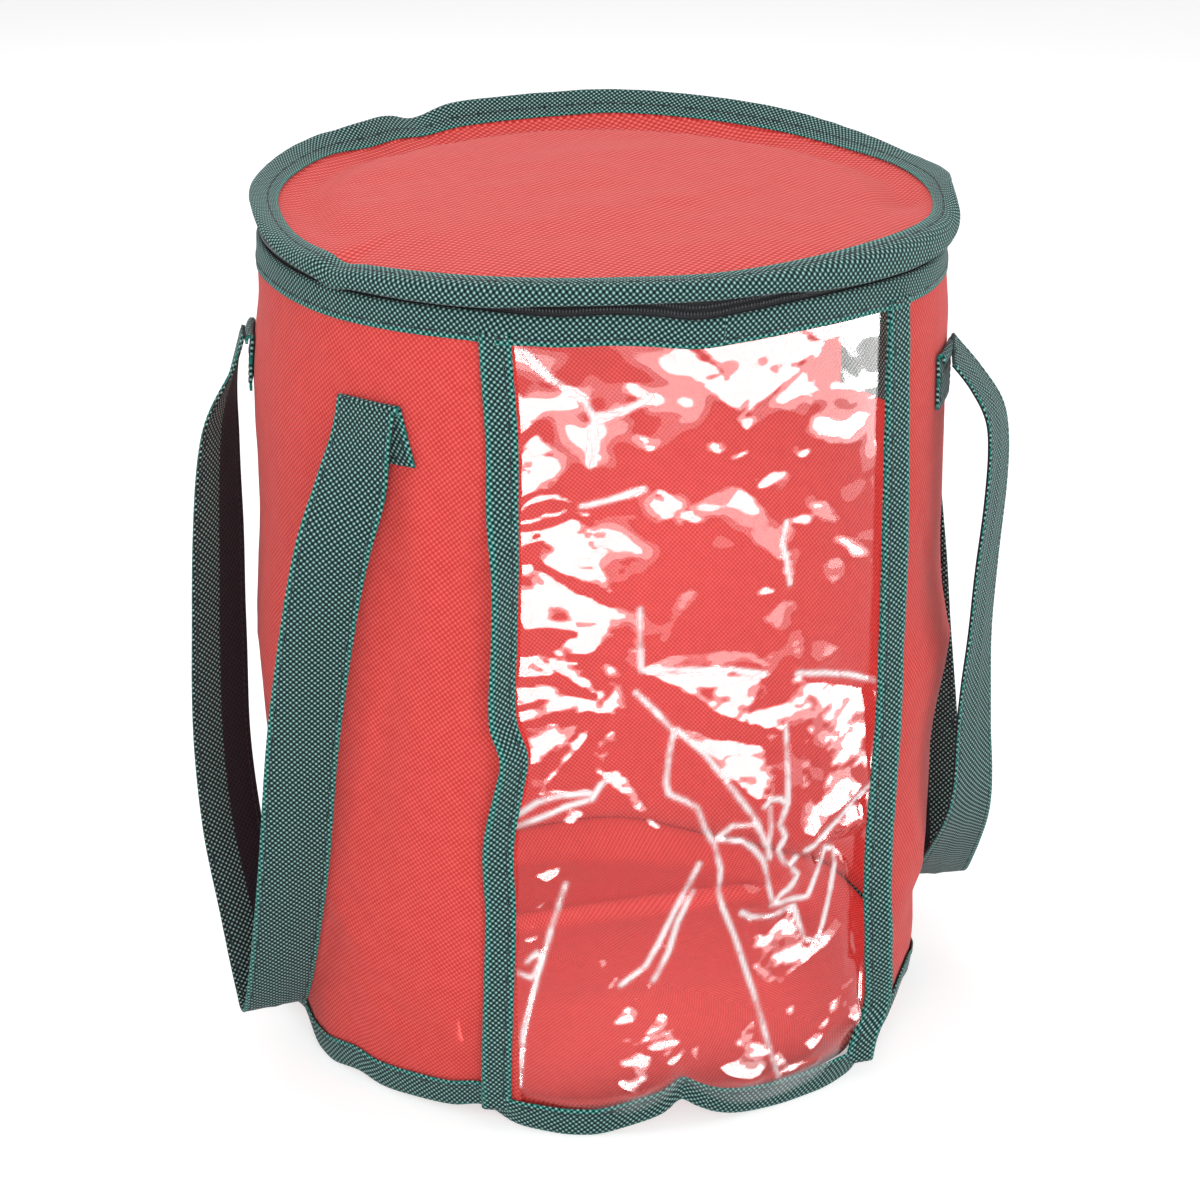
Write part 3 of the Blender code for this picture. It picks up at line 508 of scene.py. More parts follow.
# Along these lines the film's finish also carries a painted highlight, a pale white for the light
# crease edges catch
film_lines = (
    ((-12, 214.3), (-4, 212.6), (2, 210.8), (8.5, 206.2)),
    ((14.2, 203.5), (20, 200), (26, 195), (31.8, 188.5)),
    ((-6.5, 187.5), (-2, 176), (3, 157), (7, 142), (8.5, 131.5)),
    ((-13, 205), (-9.5, 195), (-7, 187), (-7.7, 178), (-8.2, 165), (-7.8, 160), (-5, 156),
     (-3.2, 152), (-1.7, 142), (0, 134), (1.2, 122), (0.8, 113), (1.6, 104)),
    ((0.6, 137), (3, 141.8), (6.3, 141.5), (8, 136)),
    ((0.6, 136), (4.5, 134.5), (6.5, 130), (8.2, 124), (9.5, 115), (10.5, 105), (11, 101)),
    ((8, 149), (9, 151.5), (11, 150.5), (12.2, 147.5), (12.3, 160), (12.1, 172), (12, 182)),
    ((9.2, 147), (9.4, 139), (8.8, 131), (9.3, 125)),
    ((12, 147), (11, 139), (12, 133), (10.8, 127), (12, 121), (13.5, 118), (14.6, 121)),
    ((-31.6, 150), (-28, 157.5), (-24.5, 160.5), (-20, 161.5)),
    ((-31.6, 145), (-28, 150), (-24, 155.5), (-20.4, 158.5)),
    ((-19.8, 159), (-18.5, 165), (-17, 169)),
    ((-15.2, 74), (-11.2, 82), (-8.5, 95), (-6.5, 106), (-4, 118), (-2.5, 126)),
    ((-10, 75), (-7.5, 88), (-6, 101), (-3.5, 114)),
    ((1.7, 104), (4, 88), (7, 63), (8.7, 48), (10.4, 30), (11.4, 21)),
    ((5, 100.5), (7, 97), (10, 95.5), (15.6, 96), (16.5, 87), (17.5, 79.5), (20, 77.5),
     (21.4, 84), (23, 97), (24.2, 110), (23.8, 117), (21.8, 119), (20, 110), (18.5, 102),
     (18, 99.3), (10.5, 100.7)),
    ((-32, 22), (-31, 50), (-28.6, 76), (-26.6, 96), (-24, 120)),
    ((-32, 78), (-29.5, 76), (-28, 84), (-28.6, 88), (-30.3, 83)),
    ((-29.8, 345), (-26, 335), (-21, 327), (-19.4, 319), (-20, 300)),
    ((-19, 320), (-16, 321), (-11, 327)),
    ((-21.4, 283), (-17, 286), (-12, 290)),
    ((-12.4, 240), (-12.4, 226), (-12.2, 215)),
    ((11.5, 270), (10.8, 262), (11.6, 253), (12.2, 244)),
    ((16, 124), (20, 130), (25, 136.5), (31.6, 144.5)),
    ((11, 101), (14, 106), (15.5, 112), (14, 116)),
)
# The film's grid, and how strongly each part of it is held to its lean
film_line_half_width = 1.0
film_columns = 150
film_rows = 320
loose_film_weight = 0.012
line_weight = 0.8
still_weight = 0.35
ghost_weight = 0.4
sideways_weight = 0.3
line_sideways_weight = 0.02
film_pull = 0.5
film_solver_steps = 500
stray_lean = -0.035
stray_rounds = 4
stray_weight_growth = 7.0
film_wave_depth = 0.00022
glint_wave_depth, glint_wave_scale = 0.00030, 1.7
glint_ripple_depth, glint_ripple_scale = 0.00007, 4.5
film_wave_inset = 0.005

# Cards that only reflections show, and where glints and ghosts look for them, in degrees up
bright_card_low = -14.5
bright_card_high = -1.0
dim_card_low = -16.8
faint_card_low = -18.4
glint_elevation = -10.0
ghost_elevation = -15.7
card_distance = 6.0
card_eye_height = 0.20
card_half_angle = 18.0
bright_card_radiance = 16.0
dim_card_radiance = 5.0
faint_card_radiance = 1.6
side_card_low, side_card_high = -38.0, -4.0
front_cards = ((-35.0, "left"), (1.0, "centre_left"), (37.0, "centre_right"), (73.0, "right"))

# Studio: how bright the floor and the world look, and the light that the world gives
floor_tone = 0.62
floor_glow = 0.60
world_light = 0.55
world_shown = 1.0

# Softboxes: azimuth, distance, height, width, tall, radiance
softboxes = (
    ("key_softbox", -14.0, 1.9, 0.80, 1.4, 1.1, 4.6),
    ("top_softbox", 0.0, 0.001, 2.3, 1.4, 1.4, 1.9),
    ("left_softbox", -95.0, 2.0, 1.0, 1.2, 1.2, 1.8),
    ("right_softbox", 80.0, 2.0, 1.0, 1.2, 1.2, 1.8),
    ("back_softbox", 175.0, 2.0, 1.6, 1.4, 1.2, 2.2),
)

# Camera, from the photograph's horizon and ellipses
camera_azimuth = -18.5285
camera_elevation = 20.7207
camera_distance = 1.2867
camera_target = Vector((0.0, 0.0, 0.1883))
camera_lens = 85.9455
sensor_width = 36.0


def eased(share):
    share = min(1.0, max(0.0, share))
    return share * share * (3.0 - 2.0 * share)


def bell(distance, half_width):
    return math.exp(-((distance / half_width) ** 2))


def ripple(spot, depth, scale=1.0):
    """Soft unevenness of that depth at a spot."""
    return depth * noise.noise(spot * scale)


def turned(azimuth):
    """The azimuth from -180 to 180."""
    return (azimuth + 180.0) % 360.0 - 180.0


def smooth_curve(points, turn=0.0):
    """A function that runs smoothly through (place, value) points, again after each turn."""
    run = sorted(points)
    if turn:
        run = (
            [(place - turn, value) for place, value in run] + run
            + [(place + turn, value) for place, value in run]
        )
    places, values = zip(*run)
    last = len(run) - 1
    slopes = [0.0]
    for at in range(1, last):
        slopes.append((values[at + 1] - values[at - 1]) / (places[at + 1] - places[at - 1]))
    slopes.append(0.0)

    def read(place):
        if turn:
            place = (place + turn / 2) % turn - turn / 2
        place = min(max(place, places[0]), places[last])
        at = min(max(bisect.bisect_right(places, place) - 1, 0), last - 1)
        step = places[at + 1] - places[at]
        t = (place - places[at]) / step
        t2, t3 = t * t, t * t * t
        return (
            values[at] * (2 * t3 - 3 * t2 + 1) + slopes[at] * step * (t3 - 2 * t2 + t)
            + values[at + 1] * (3 * t2 - 2 * t3) + slopes[at + 1] * step * (t3 - t2)
        )

    return read


foot_lift = smooth_curve(foot_lift_points, 360.0)
foot_flare = smooth_curve(foot_flare_points, 360.0)
mouth_flare = smooth_curve(mouth_flare_points, 360.0)
mouth_lift = smooth_curve(mouth_lift_points, 360.0)
rim_slope = smooth_curve(rim_slope_points, 360.0)
seam_radius = smooth_curve(seam_radius_points, 360.0)
seam_lift = smooth_curve(seam_lift_points, 360.0)
hem_reach = smooth_curve(hem_reach_points, 360.0)
strip_roots = {-1: smooth_curve(left_strip_root), 1: smooth_curve(right_strip_root)}
strip_leans = {-1: smooth_curve(left_strip_lean), 1: smooth_curve(right_strip_lean)}


def at_azimuth(azimuth, radius, height):
    turn = math.radians(azimuth)
    return Vector((radius * math.sin(turn), -radius * math.cos(turn), height))


def outward_at(azimuth):
    return at_azimuth(azimuth, 1.0, 0.0)


def camera_place():
    lift = math.radians(camera_elevation)
    reach, rise = camera_distance * math.cos(lift), camera_distance * math.sin(lift)
    return camera_target + at_azimuth(camera_azimuth, reach, rise)


def wall_radius(height):
    share = min(1.0, max(0.0, (height - wall_foot) / tuck_height))
    return foot_radius + (bag_radius - foot_radius) * math.sin(share * math.pi / 2)


def fold_out(azimuth, height, folds):
    """How far soft folds between pairs of places push the cloth out."""
    total = 0.0
    for start, foot, end, top, half_width, out in folds:
        across = turned(azimuth - start) * math.radians(bag_radius)
        run = turned(end - start) * math.radians(bag_radius)
        rise = top - foot
        share = (across * run + (height - foot) * rise) / (run * run + rise * rise)
        if -0.2 < share < 1.2:
            held = min(1.0, max(0.0, share))
            away = math.hypot(across - run * held, height - foot - rise * held)
            total += out * bell(away, half_width) * math.sin(math.pi * (0.1 + 0.8 * held))
    return total


def wall_swell(azimuth, height):
    """The cloth's soft departures from the plain wall, gone at the mouth."""
    total = 0.0
    for centre, middle, half_angle, half_height, out in wall_swells:
        across = bell(turned(azimuth - centre), half_angle)
        total += out * across * bell(height - middle, half_height)
    total += fold_out(azimuth, height, wall_folds)
    place = at_azimuth(azimuth, bag_radius, height)
    total += ripple(place, wrinkle_depth, wrinkle_scale)
    total += ripple(place, crinkle_depth, crinkle_scale)
    return total * eased((wrinkles_end - height) / wrinkles_fade)


def wall_point(azimuth, height, out=0.0):
    """A point that far out of the wall's outer face, at its height in the flat cloth."""
    sag = eased(1.0 - height / sag_height)
    mouth = eased((height - mouth_start) / (wall_top - mouth_start))
    lifted = height + max(0.0, foot_lift(azimuth)) * sag + mouth_lift(azimuth) * mouth
    radius = wall_radius(height) + wall_swell(azimuth, height) + out
    radius += foot_flare(azimuth) * sag + mouth_flare(azimuth) * mouth
    return at_azimuth(azimuth, radius, lifted)


def folded(distance, near_leg, radius):
    """A tape's centre line folded over an edge: across the edge and along it, from its length."""
    bend = math.pi * radius
    if distance < near_leg:
        return radius, distance - near_leg
    if distance < near_leg + bend:
        turn = (distance - near_leg) / radius
        return radius * math.cos(turn), radius * math.sin(turn)
    return -radius, near_leg + bend - distance


def folded_length(near_leg, radius, far_leg):
    return near_leg + math.pi * radius + far_leg


# Materials


class Finish:
    """A material's node tree, built node by node."""

    def __init__(self, name):
        self.material = bpy.data.materials.new(name)
        self.material.use_nodes = True
        self.tree = self.material.node_tree
        self.tree.nodes.clear()
        self.output = self.tree.nodes.new("ShaderNodeOutputMaterial")

    def node(self, kind, inputs=None, **settings):
        made = self.tree.nodes.new("ShaderNode" + kind)
        for name, value in settings.items():
            setattr(made, name, value)
        for name, value in (inputs or {}).items():
            if isinstance(value, bpy.types.NodeSocket):
                self.tree.links.new(value, made.inputs[name])
            else:
                made.inputs[name].default_value = value
        return made

    def maths(self, operation, first, second=0.0):
        made = self.node("Math", {0: first, 1: second}, operation=operation)
        return made.outputs[0]

    def ramp(self, value, low, high, to_low=0.0, to_high=1.0):
        made = self.node(
            "MapRange",
            {"Value": value, "From Min": low, "From Max": high,
             "To Min": to_low, "To Max": to_high},
            interpolation_type="SMOOTHSTEP",
        )
        return made.outputs[0]

    def grain(self, place, scale, detail, roughness=0.5):
        made = self.node(
            "TexNoise",
            {"Vector": place, "Scale": scale, "Detail": detail, "Roughness": roughness},
        )
        return made.outputs[0]

    def mixed(self, share, first, second):
        made = self.node("Mix", data_type="RGBA")
        for name, value in (("Factor_Float", share), ("A_Color", first), ("B_Color", second)):
            socket = next(s for s in made.inputs if s.identifier == name)
            if isinstance(value, bpy.types.NodeSocket):
                self.tree.links.new(value, socket)
            else:
                socket.default_value = value
        return next(s for s in made.outputs if s.identifier == "Result_Color")

    def done(self, shader):
        self.tree.links.new(shader.outputs[0], self.output.inputs["Surface"])
        return self.material


def colour(red, green, blue):
    return (red, green, blue, 1.0)


def emboss(finish, coordinates, pitch):
    """A point-bonded cloth's lattice: 1 in a pit, -1 on a raised fibre knot, 0 between."""
    scale = math.pi / pitch
    spread = finish.node(
        "Mapping",
        {"Vector": coordinates, "Rotation": (0, 0, math.radians(lattice_turn)),
         "Scale": (scale, scale, scale)},
    )
    split = finish.node("SeparateXYZ", {0: spread.outputs[0]})
    across = finish.maths("SINE", split.outputs[0])
    along = finish.maths("SINE", split.outputs[1])
    return finish.maths("MULTIPLY", across, along)


def cloth_finish(name, face, knot, pit, shade, pitch, share, depth, edge=None, inner=None):
    """Embossed non-woven cloth: fibres, bonded pits, raised knots, a little mottling and, on a
    strap's inner face, painted shade.
    """
    finish = Finish(name)
    flat = finish.node("UVMap", uv_map="cloth").outputs[0]
    lattice = emboss(finish, flat, pitch)
    pits = finish.ramp(lattice, 0.06, 0.55)
    knots = finish.ramp(lattice, -0.22, -0.75)
    fibres = finish.grain(flat, fibre_scale, 3.0, 0.65)
    cloudy = finish.grain(flat, mottle_scale, 5.0, 0.7)
    base = finish.mixed(finish.ramp(cloudy, 0.32, 0.68), face, shade)
    if edge:
        distance = finish.node("Attribute", attribute_name="edge").outputs["Fac"]
        near_edge = finish.ramp(distance, edge_width, edge_fade_end, 0.8, 0.0)
        base = finish.mixed(near_edge, base, edge)
    # A strap's inner face: painted shade, dark green over all of it, and on the half past the
    # middle a plum painted shade for the red wall's bounce light, where no raised knots are drawn
    if inner:
        across = finish.node("SeparateXYZ", {0: flat}).outputs[1]
        past_middle = (strap_inner_middle - 0.0003, strap_inner_middle + 0.0003)
        base = finish.mixed(finish.ramp(across, 0.060, 0.061), base, inner[0])
        base = finish.mixed(finish.ramp(across, *past_middle), base, inner[1])
        knots = finish.maths("MULTIPLY", knots, finish.ramp(across, *past_middle, 1.0, 0.0))
    speckled = finish.mixed(finish.ramp(fibres, 0.35, 0.75, 0.0, 0.35), base, pit)
    raised = finish.mixed(finish.maths("MULTIPLY", knots, share), speckled, knot)
    shown = finish.mixed(finish.maths("MULTIPLY", pits, share), raised, pit)
    height = finish.maths("SUBTRACT", finish.maths("MULTIPLY", fibres, 0.35), pits)
    bump = finish.node("Bump", {"Height": height, "Distance": depth, "Strength": 0.9})
    shader = finish.node(
        "BsdfPrincipled",
        {"Base Color": shown, "Roughness": 0.78, "Specular IOR Level": 0.10,
         "Sheen Weight": 0.10, "Sheen Roughness": 0.5, "Normal": bump.outputs[0]},
    )
    return finish.done(shader)


def film_finish():
    """Clear film: see-through, with a sharp reflection that grows at a glancing angle, and a
    painted
    highlight along the creases: a pale diffuse white that stands in for the light their edges
    catch."""
    finish = Finish("window_film_finish")
    place = finish.node("TexCoord").outputs["Object"]
    dust = finish.grain(place, 160.0, 4.0)
    facing = finish.node("LayerWeight", {"Blend": 0.5}).outputs["Facing"]
    grazing = finish.maths("MULTIPLY", finish.maths("POWER", facing, 4.0), 0.5)
    share = finish.maths("ADD", grazing, 0.030)
    clear = finish.node("BsdfTransparent", {"Color": colour(0.985, 0.985, 0.985)})
    gloss = finish.node(
        "BsdfGlossy",
        {"Color": colour(1, 1, 1), "Roughness": finish.ramp(dust, 0.45, 0.75, 0.02, 0.06)},
    )
    mixed = finish.node("MixShader", {0: share, 1: clear.outputs[0], 2: gloss.outputs[0]})
    # Painted highlight: a pale diffuse white mixed in patchily along the creases
    crease = finish.node("Attribute", attribute_name="crease").outputs["Fac"]
    patchy = finish.grain(place, 90.0, 2.0)
    painted_glint_share = finish.maths("MULTIPLY", crease, finish.ramp(patchy, 0.35, 0.60, 0.30, 0.85))
    painted_crease_glint = finish.node("BsdfDiffuse", {"Color": colour(0.98, 0.93, 0.94)})
    with_painted_glints = finish.node("MixShader", {0: painted_glint_share, 1: mixed.outputs[0], 2: painted_crease_glint.outputs[0]})
    return finish.done(with_painted_glints)


def plain_finish(name, shown, roughness, grain_scale, grain_depth, metallic=0.0, specular=0.5):
    """Thread, zip tape, nylon or lacquered metal, with a fine grain."""
    finish = Finish(name)
    place = finish.node("TexCoord").outputs["Object"]
    grain = finish.grain(place, grain_scale, 3.0)
    dark = tuple(part * 0.55 for part in shown[:3]) + (1.0,)
    tone = finish.mixed(finish.ramp(grain, 0.35, 0.7), shown, dark)
    bump = finish.node("Bump", {"Height": grain, "Distance": grain_depth, "Strength": 0.7})
    shader = finish.node(
        "BsdfPrincipled",
        {"Base Color": tone, "Roughness": roughness, "Metallic": metallic,
         "Specular IOR Level": specular, "Normal": bump.outputs[0]},
    )
    return finish.done(shader)


red_face = colour(0.79, 0.084, 0.076)
red_shade = colour(0.72, 0.064, 0.058)
red_knot = colour(0.92, 0.185, 0.165)
red_pit = colour(0.52, 0.030, 0.028)
green_face = colour(0.036, 0.104, 0.098)
green_shade = colour(0.026, 0.076, 0.073)
green_knot = colour(0.340, 0.580, 0.540)
green_pit = colour(0.002, 0.008, 0.012)
green_edge = colour(0.010, 0.260, 0.215)
strap_shade = colour(0.020, 0.060, 0.058)
# Painted shade of a strap's inner face: dark green, and plum where the red wall's light bounces in
inner_painted_shade_green = colour(0.022, 0.036, 0.034)
inner_painted_shade_red_bounce = colour(0.030, 0.018, 0.024)

wall_finish = cloth_finish(
    "red_cloth", red_face, red_knot, red_pit, red_shade, 0.00120, 0.60, 0.00010
)
lid_finish = cloth_finish(
    "red_lid_cloth", red_face, red_knot, red_pit, red_shade, 0.00175, 0.95, 0.00016
)
tape_finish = cloth_finish(
    "green_tape", green_face, green_knot, green_pit, green_shade, 0.00125, 0.95, 0.00020,
    edge=green_edge,
)
strap_finish = cloth_finish(
    "green_strap", green_shade, green_knot, green_pit, strap_shade, 0.00125, 0.95, 0.00020,
    edge=green_edge, inner=(inner_painted_shade_green, inner_painted_shade_red_bounce),
)
clear_finish = film_finish()
thread_finish = plain_finish("navy_thread", colour(0.010, 0.016, 0.024), 0.6, 3000.0, 0.0001)
zip_cloth_finish = plain_finish(
    "zip_tape_black", colour(0.012, 0.013, 0.016), 0.8, 1800.0, 0.0002
)
# The teeth are a dark grey, lighter than the black tape: partly the coil's own tone, partly a
# painted highlight so that its turns show as pale dots
zip_teeth_painted_glint_finish = plain_finish(
    "zip_teeth_grey_painted_glint", colour(0.060, 0.062, 0.068), 0.32, 900.0, 0.00003
)
metal_finish = plain_finish(
    "lacquered_metal", colour(0.020, 0.020, 0.022), 0.36, 500.0, 0.00003, metallic=0.6
)


# Pieces


def finished(name, bm, finish, thickness=0.0):
    """An object from a bmesh, smooth shaded, with its cloth's thickness if it has one."""
    mesh = bpy.data.meshes.new(name)
    bm.to_mesh(mesh)
    bm.free()
    mesh.shade_smooth()
    mesh.materials.append(finish)
    made = bpy.data.objects.new(name, mesh)
    bpy.context.scene.collection.objects.link(made)
    if thickness:
        solid = made.modifiers.new("cloth", "SOLIDIFY")
        solid.thickness = thickness
        solid.offset = 0.0
    return made


def from_grid(name, columns, rows, size, place, finish, thickness=0.0, ring=False, edges=()):
    """A sheet from a grid. place(u, v) puts each point, u along and v across, from 0 to 1.
    edges gives the values of v at which the tape's cut or folded edges lie."""
    bm = bmesh.new()
    bmesh.ops.create_grid(bm, x_segments=columns, y_segments=rows, size=0.5)
    cloth_map = bm.loops.layers.uv.new("cloth")
    edge_layer = bm.verts.layers.float.new("edge")
    for face in bm.faces:
        for loop in face.loops:
            u, v = loop.vert.co.x + 0.5, loop.vert.co.y + 0.5
            loop[cloth_map].uv = (u * size[0], v * size[1])
    for vert in bm.verts:
        u, v = vert.co.x + 0.5, vert.co.y + 0.5
        if edges:
            vert[edge_layer] = min(abs(v - edge) for edge in edges) * size[1]
        vert.co = place(u, v)
    if ring:
        bmesh.ops.remove_doubles(bm, verts=bm.verts, dist=1e-5)
    return finished(name, bm, finish, thickness)


def disc_share(u, v):
    """Place in a square as a share of a disc's radius and an azimuth."""
    x, y = 2.0 * u - 1.0, 2.0 * v - 1.0
    if x == 0.0 and y == 0.0:
        return 0.0, 0.0
    if abs(x) > abs(y):
        radius, turn = x, math.pi / 4 * y / x
    else:
        radius, turn = y, math.pi / 2 - math.pi / 4 * x / y
    flat_x, flat_y = radius * math.cos(turn), radius * math.sin(turn)
    return abs(radius), math.degrees(math.atan2(flat_x, -flat_y))


def make_wall():
    start = window_half_angle + window_under_tape / 3
    sweep = 360.0 - 2 * start
    length = math.radians(sweep) * bag_radius
    height = wall_top - wall_foot

    def place(u, v):
        return wall_point(start + sweep * u, wall_foot + height * v, -cloth_thickness / 2)

    made = from_grid("wall_cloth", 230, 100, (length, height), place, wall_finish, cloth_thickness)
    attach(made, "bag")
    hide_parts("side_panel")


def inside_any(outlines, across, up):
    """Which places lie inside one of the closed outlines."""
    anywhere = numpy.zeros(across.shape, bool)
    for outline in outlines:
        inside = numpy.zeros(across.shape, bool)
        for (x1, y1), (x2, y2) in zip(outline, outline[1:] + outline[:1]):
            if y1 != y2:
                crossing = (x2 - x1) * (up - y1) / (y2 - y1) + x1
                inside ^= ((y1 > up) != (y2 > up)) & (across < crossing)
        anywhere |= inside
    return anywhere


def away_from_lines(azimuths, up):
    """Distance of each place from the nearest line of the film, in millimetres."""
    degree = math.radians(bag_radius * 1000.0)
    nearest = numpy.full(up.shape, 1e9)
    for run in film_lines:
        for (start, foot), (end, top) in zip(run, run[1:]):
            across, rise = (end - start) * degree, top - foot
            x, y = (azimuths - start) * degree, up - foot
            share = (x * across + y * rise) / (across * across + rise * rise)
            share = numpy.clip(share, 0.0, 1.0)
            away = numpy.hypot(x - share * across, y - share * rise)
            nearest = numpy.minimum(nearest, away)
    return nearest


def between_columns(values):
    return (values[:, 1:] + values[:, :-1]) / 2


def between_rows(values):
    return (values[1:] + values[:-1]) / 2


def leaning_relief(leans, weights, steps):
    """The relief whose slopes come nearest to the wanted leans, still along the film's edges.
    Conjugate gradients on the grid: leans, weights and steps go across, then up."""
    lean_across, lean_up = leans
    weight_across, weight_up = weights
    step_across, step_up = steps
    shape = (weight_up.shape[0] + 1, weight_across.shape[1] + 1)
    free = numpy.zeros(shape)
    free[1:-1, 1:-1] = 1.0

    def gathered(across, up):
        total = numpy.zeros(shape)
        total[:, 1:] += across / step_across
        total[:, :-1] -= across / step_across
        total[1:] += up / step_up
        total[:-1] -= up / step_up
        return total

    def pulled(relief):
        across = weight_across * (relief[:, 1:] - relief[:, :-1]) / step_across
        up = weight_up * (relief[1:] - relief[:-1]) / step_up
        return free * (gathered(across, up) + film_pull * relief)

    scale = numpy.full(shape, film_pull)
    for part in (scale[:, 1:], scale[:, :-1]):
        part += weight_across / step_across ** 2
    for part in (scale[1:], scale[:-1]):
        part += weight_up / step_up ** 2
    relief = numpy.zeros(shape)
    left = free * gathered(weight_across * lean_across, weight_up * lean_up)
    eased_left = left / scale
    way = eased_left.copy()
    size = (left * eased_left).sum()
    for _turn in range(film_solver_steps):
        change = pulled(way)
        step = size / (way * change).sum()
        relief += step * way
        left -= step * change
        eased_left = left / scale
        new_size = (left * eased_left).sum()
        way = eased_left + new_size / size * way
        size = new_size
    return relief


def film_relief(azimuths, levels, base):
    """How far the creased film stands off its plain surface at each place."""
    up = levels * 1000.0
    glint = inside_any(film_glints, azimuths, up) & ~inside_any(film_glint_gaps, azimuths, up)
    line = (away_from_lines(azimuths, up) < film_line_half_width) & ~glint
    ghost = inside_any(film_ghosts, azimuths, up) & ~(glint | line)
    bright = glint | line
    turns = numpy.radians(azimuths)
    to_camera = numpy.array(camera_place()) - base
    to_camera /= numpy.linalg.norm(to_camera, axis=-1, keepdims=True)
    mirrored = 2.0 * turns - numpy.arctan2(to_camera[..., 0], -to_camera[..., 1])
    rise = numpy.radians(numpy.where(bright, glint_elevation, ghost_elevation))
    to_light = numpy.stack(
        [numpy.cos(rise) * numpy.sin(mirrored), -numpy.cos(rise) * numpy.cos(mirrored),
         numpy.sin(rise)], axis=-1
    )
    facing = to_camera + to_light
    outward = facing[..., 0] * numpy.sin(turns) - facing[..., 1] * numpy.cos(turns)
    sideways = facing[..., 0] * numpy.cos(turns) + facing[..., 1] * numpy.sin(turns)
    radius = numpy.hypot(base[..., 0], base[..., 1])
    plain_lean = numpy.gradient(radius, axis=0) / numpy.gradient(base[..., 2], axis=0)
    leaning = bright | ghost
    lean_across = numpy.where(leaning, -sideways / outward, 0.0)
    lean_up = numpy.where(leaning, -facing[..., 2] / outward, 0.0) - plain_lean
    still = inside_any(film_still, azimuths, up)
    weight = numpy.where(still, still_weight, loose_film_weight)
    weight = numpy.where(ghost, ghost_weight, weight)
    weight = numpy.where(glint, 1.0, numpy.where(line, line_weight, weight))
    column_width = math.radians(azimuths[0, 1] - azimuths[0, 0]) * bag_radius
    steps = (column_width, levels[1, 0] - levels[0, 0])
    leans = (between_columns(lean_across), between_rows(lean_up))
    for _round in range(stray_rounds):
        weight_across = numpy.where(line, line_sideways_weight, weight)
        weight_across = numpy.where(glint, sideways_weight, weight_across)
        weights = (between_columns(weight_across), between_rows(weight))
        relief = leaning_relief(leans, weights, steps)
        total_lean = plain_lean + numpy.gradient(relief, axis=0) / steps[1]
        stray = ~leaning & (total_lean < stray_lean)
        raised = numpy.minimum(weight * stray_weight_growth, 1.0)
        weight = numpy.where(stray, raised, weight)
    return relief, glint


def make_film():
    reach = window_half_angle + window_under_tape / 2
    width = math.radians(2 * reach) * bag_radius
    height = wall_top - wall_foot
    azimuths, levels = numpy.meshgrid(
        numpy.linspace(-reach, reach, film_columns + 1),
        numpy.linspace(wall_foot, wall_top, film_rows + 1),
    )
    base = numpy.array([
        [wall_point(azimuth, level, -film_thickness) for azimuth, level in zip(*row)]
        for row in zip(azimuths, levels)
    ])
    relief, glint = film_relief(azimuths, levels, base)

    def place(u, v):
        column, row = round(u * film_columns), round(v * film_rows)
        azimuth = azimuths[row, column]
        level = levels[row, column]
        inset = min(width / 2 - abs(math.radians(azimuth) * bag_radius), level - wall_foot)
        spot = Vector((azimuth * 0.2, level * 75.0, 2.0))
        wave = ripple(spot, film_wave_depth)
        if glint[row, column]:
            wave += ripple(spot, glint_wave_depth, glint_wave_scale)
            wave += ripple(spot, glint_ripple_depth, glint_ripple_scale)
        away = relief[row, column] + wave * eased(inset / film_wave_inset)
        return Vector(base[row, column]) + outward_at(azimuth) * away

    made = from_grid(
        "window_film", film_columns, film_rows, (width, height), place, clear_finish,
        film_thickness,
    )
    spots = numpy.array([vert.co for vert in made.data.vertices])
    turns = numpy.degrees(numpy.arctan2(spots[:, 0], -spots[:, 1]))
    away = away_from_lines(turns, spots[:, 2] * 1000.0)
    # Nearness to the crease lines, where the film's finish paints its highlight
    crease = made.data.attributes.new("crease", "FLOAT", "POINT")
    crease.data.foreach_set("value", numpy.exp(-((away / film_line_half_width) ** 2)))
    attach(made, "bag")
    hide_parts("window_panel")


def strip_frame(side, height):
    """Root of a window tape, the way it leans, and the way square to that."""
    azimuth = strip_roots[side](height)
    lean = math.radians(strip_leans[side](height))
    root = wall_point(azimuth, height, strip_proud)
    outward = outward_at(azimuth)
    away = Vector((-outward.y, outward.x, 0.0)) * side
    reach = away * math.cos(lean) + outward * math.sin(lean)
    square = outward * math.cos(lean) - away * math.sin(lean)
    return root, reach, square


def strip_wave(side, height):
    return ripple(Vector((height * strip_wave_scale, side * 3.0, 0.0)), strip_wave_depth)


def make_strips():
    length = folded_length(strip_width, strip_fold_radius, strip_width)
    rise = strip_top - strip_foot
    for side, hand in ((-1, "left"), (1, "right")):
        def place(u, v):
            if side < 0:
                u = 1.0 - u
            level = strip_foot + rise * u
            root, reach, square = strip_frame(side, level)
            across, along = folded(v * length, strip_width, strip_fold_radius)
            across += strip_wave(side, level)
            return root + reach * (strip_width + along) + square * across

        made = from_grid(
            f"window_tape_{hand}", 150, 18, (rise, length), place, tape_finish, tape_thickness,
            edges=(0.0, 0.47, 0.53, 1.0),
        )
        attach(made, "bag")
        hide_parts(f"window_binding_{hand}")


def over_strips(azimuth, height, beside, half_angle):
    """A share of how far the window tapes push out a tape that crosses them."""
    centres = [strip_roots[side](height) + side * beside for side in (-1, 1)]
    return sum(bell(azimuth - centre, half_angle) for centre in centres)


def band_draped(azimuth, drop):
    """How far the band's outer leg stands out, by its share of the way down."""
    crossing = over_strips(turned(azimuth), wall_top, band_bulge_beside, band_bulge_half_angle)
    gathers = ripple(at_azimuth(azimuth, band_gather_radius, 0.0), band_gather_depth)
    return band_over_strips * crossing * eased(drop * band_drape) + gathers * drop


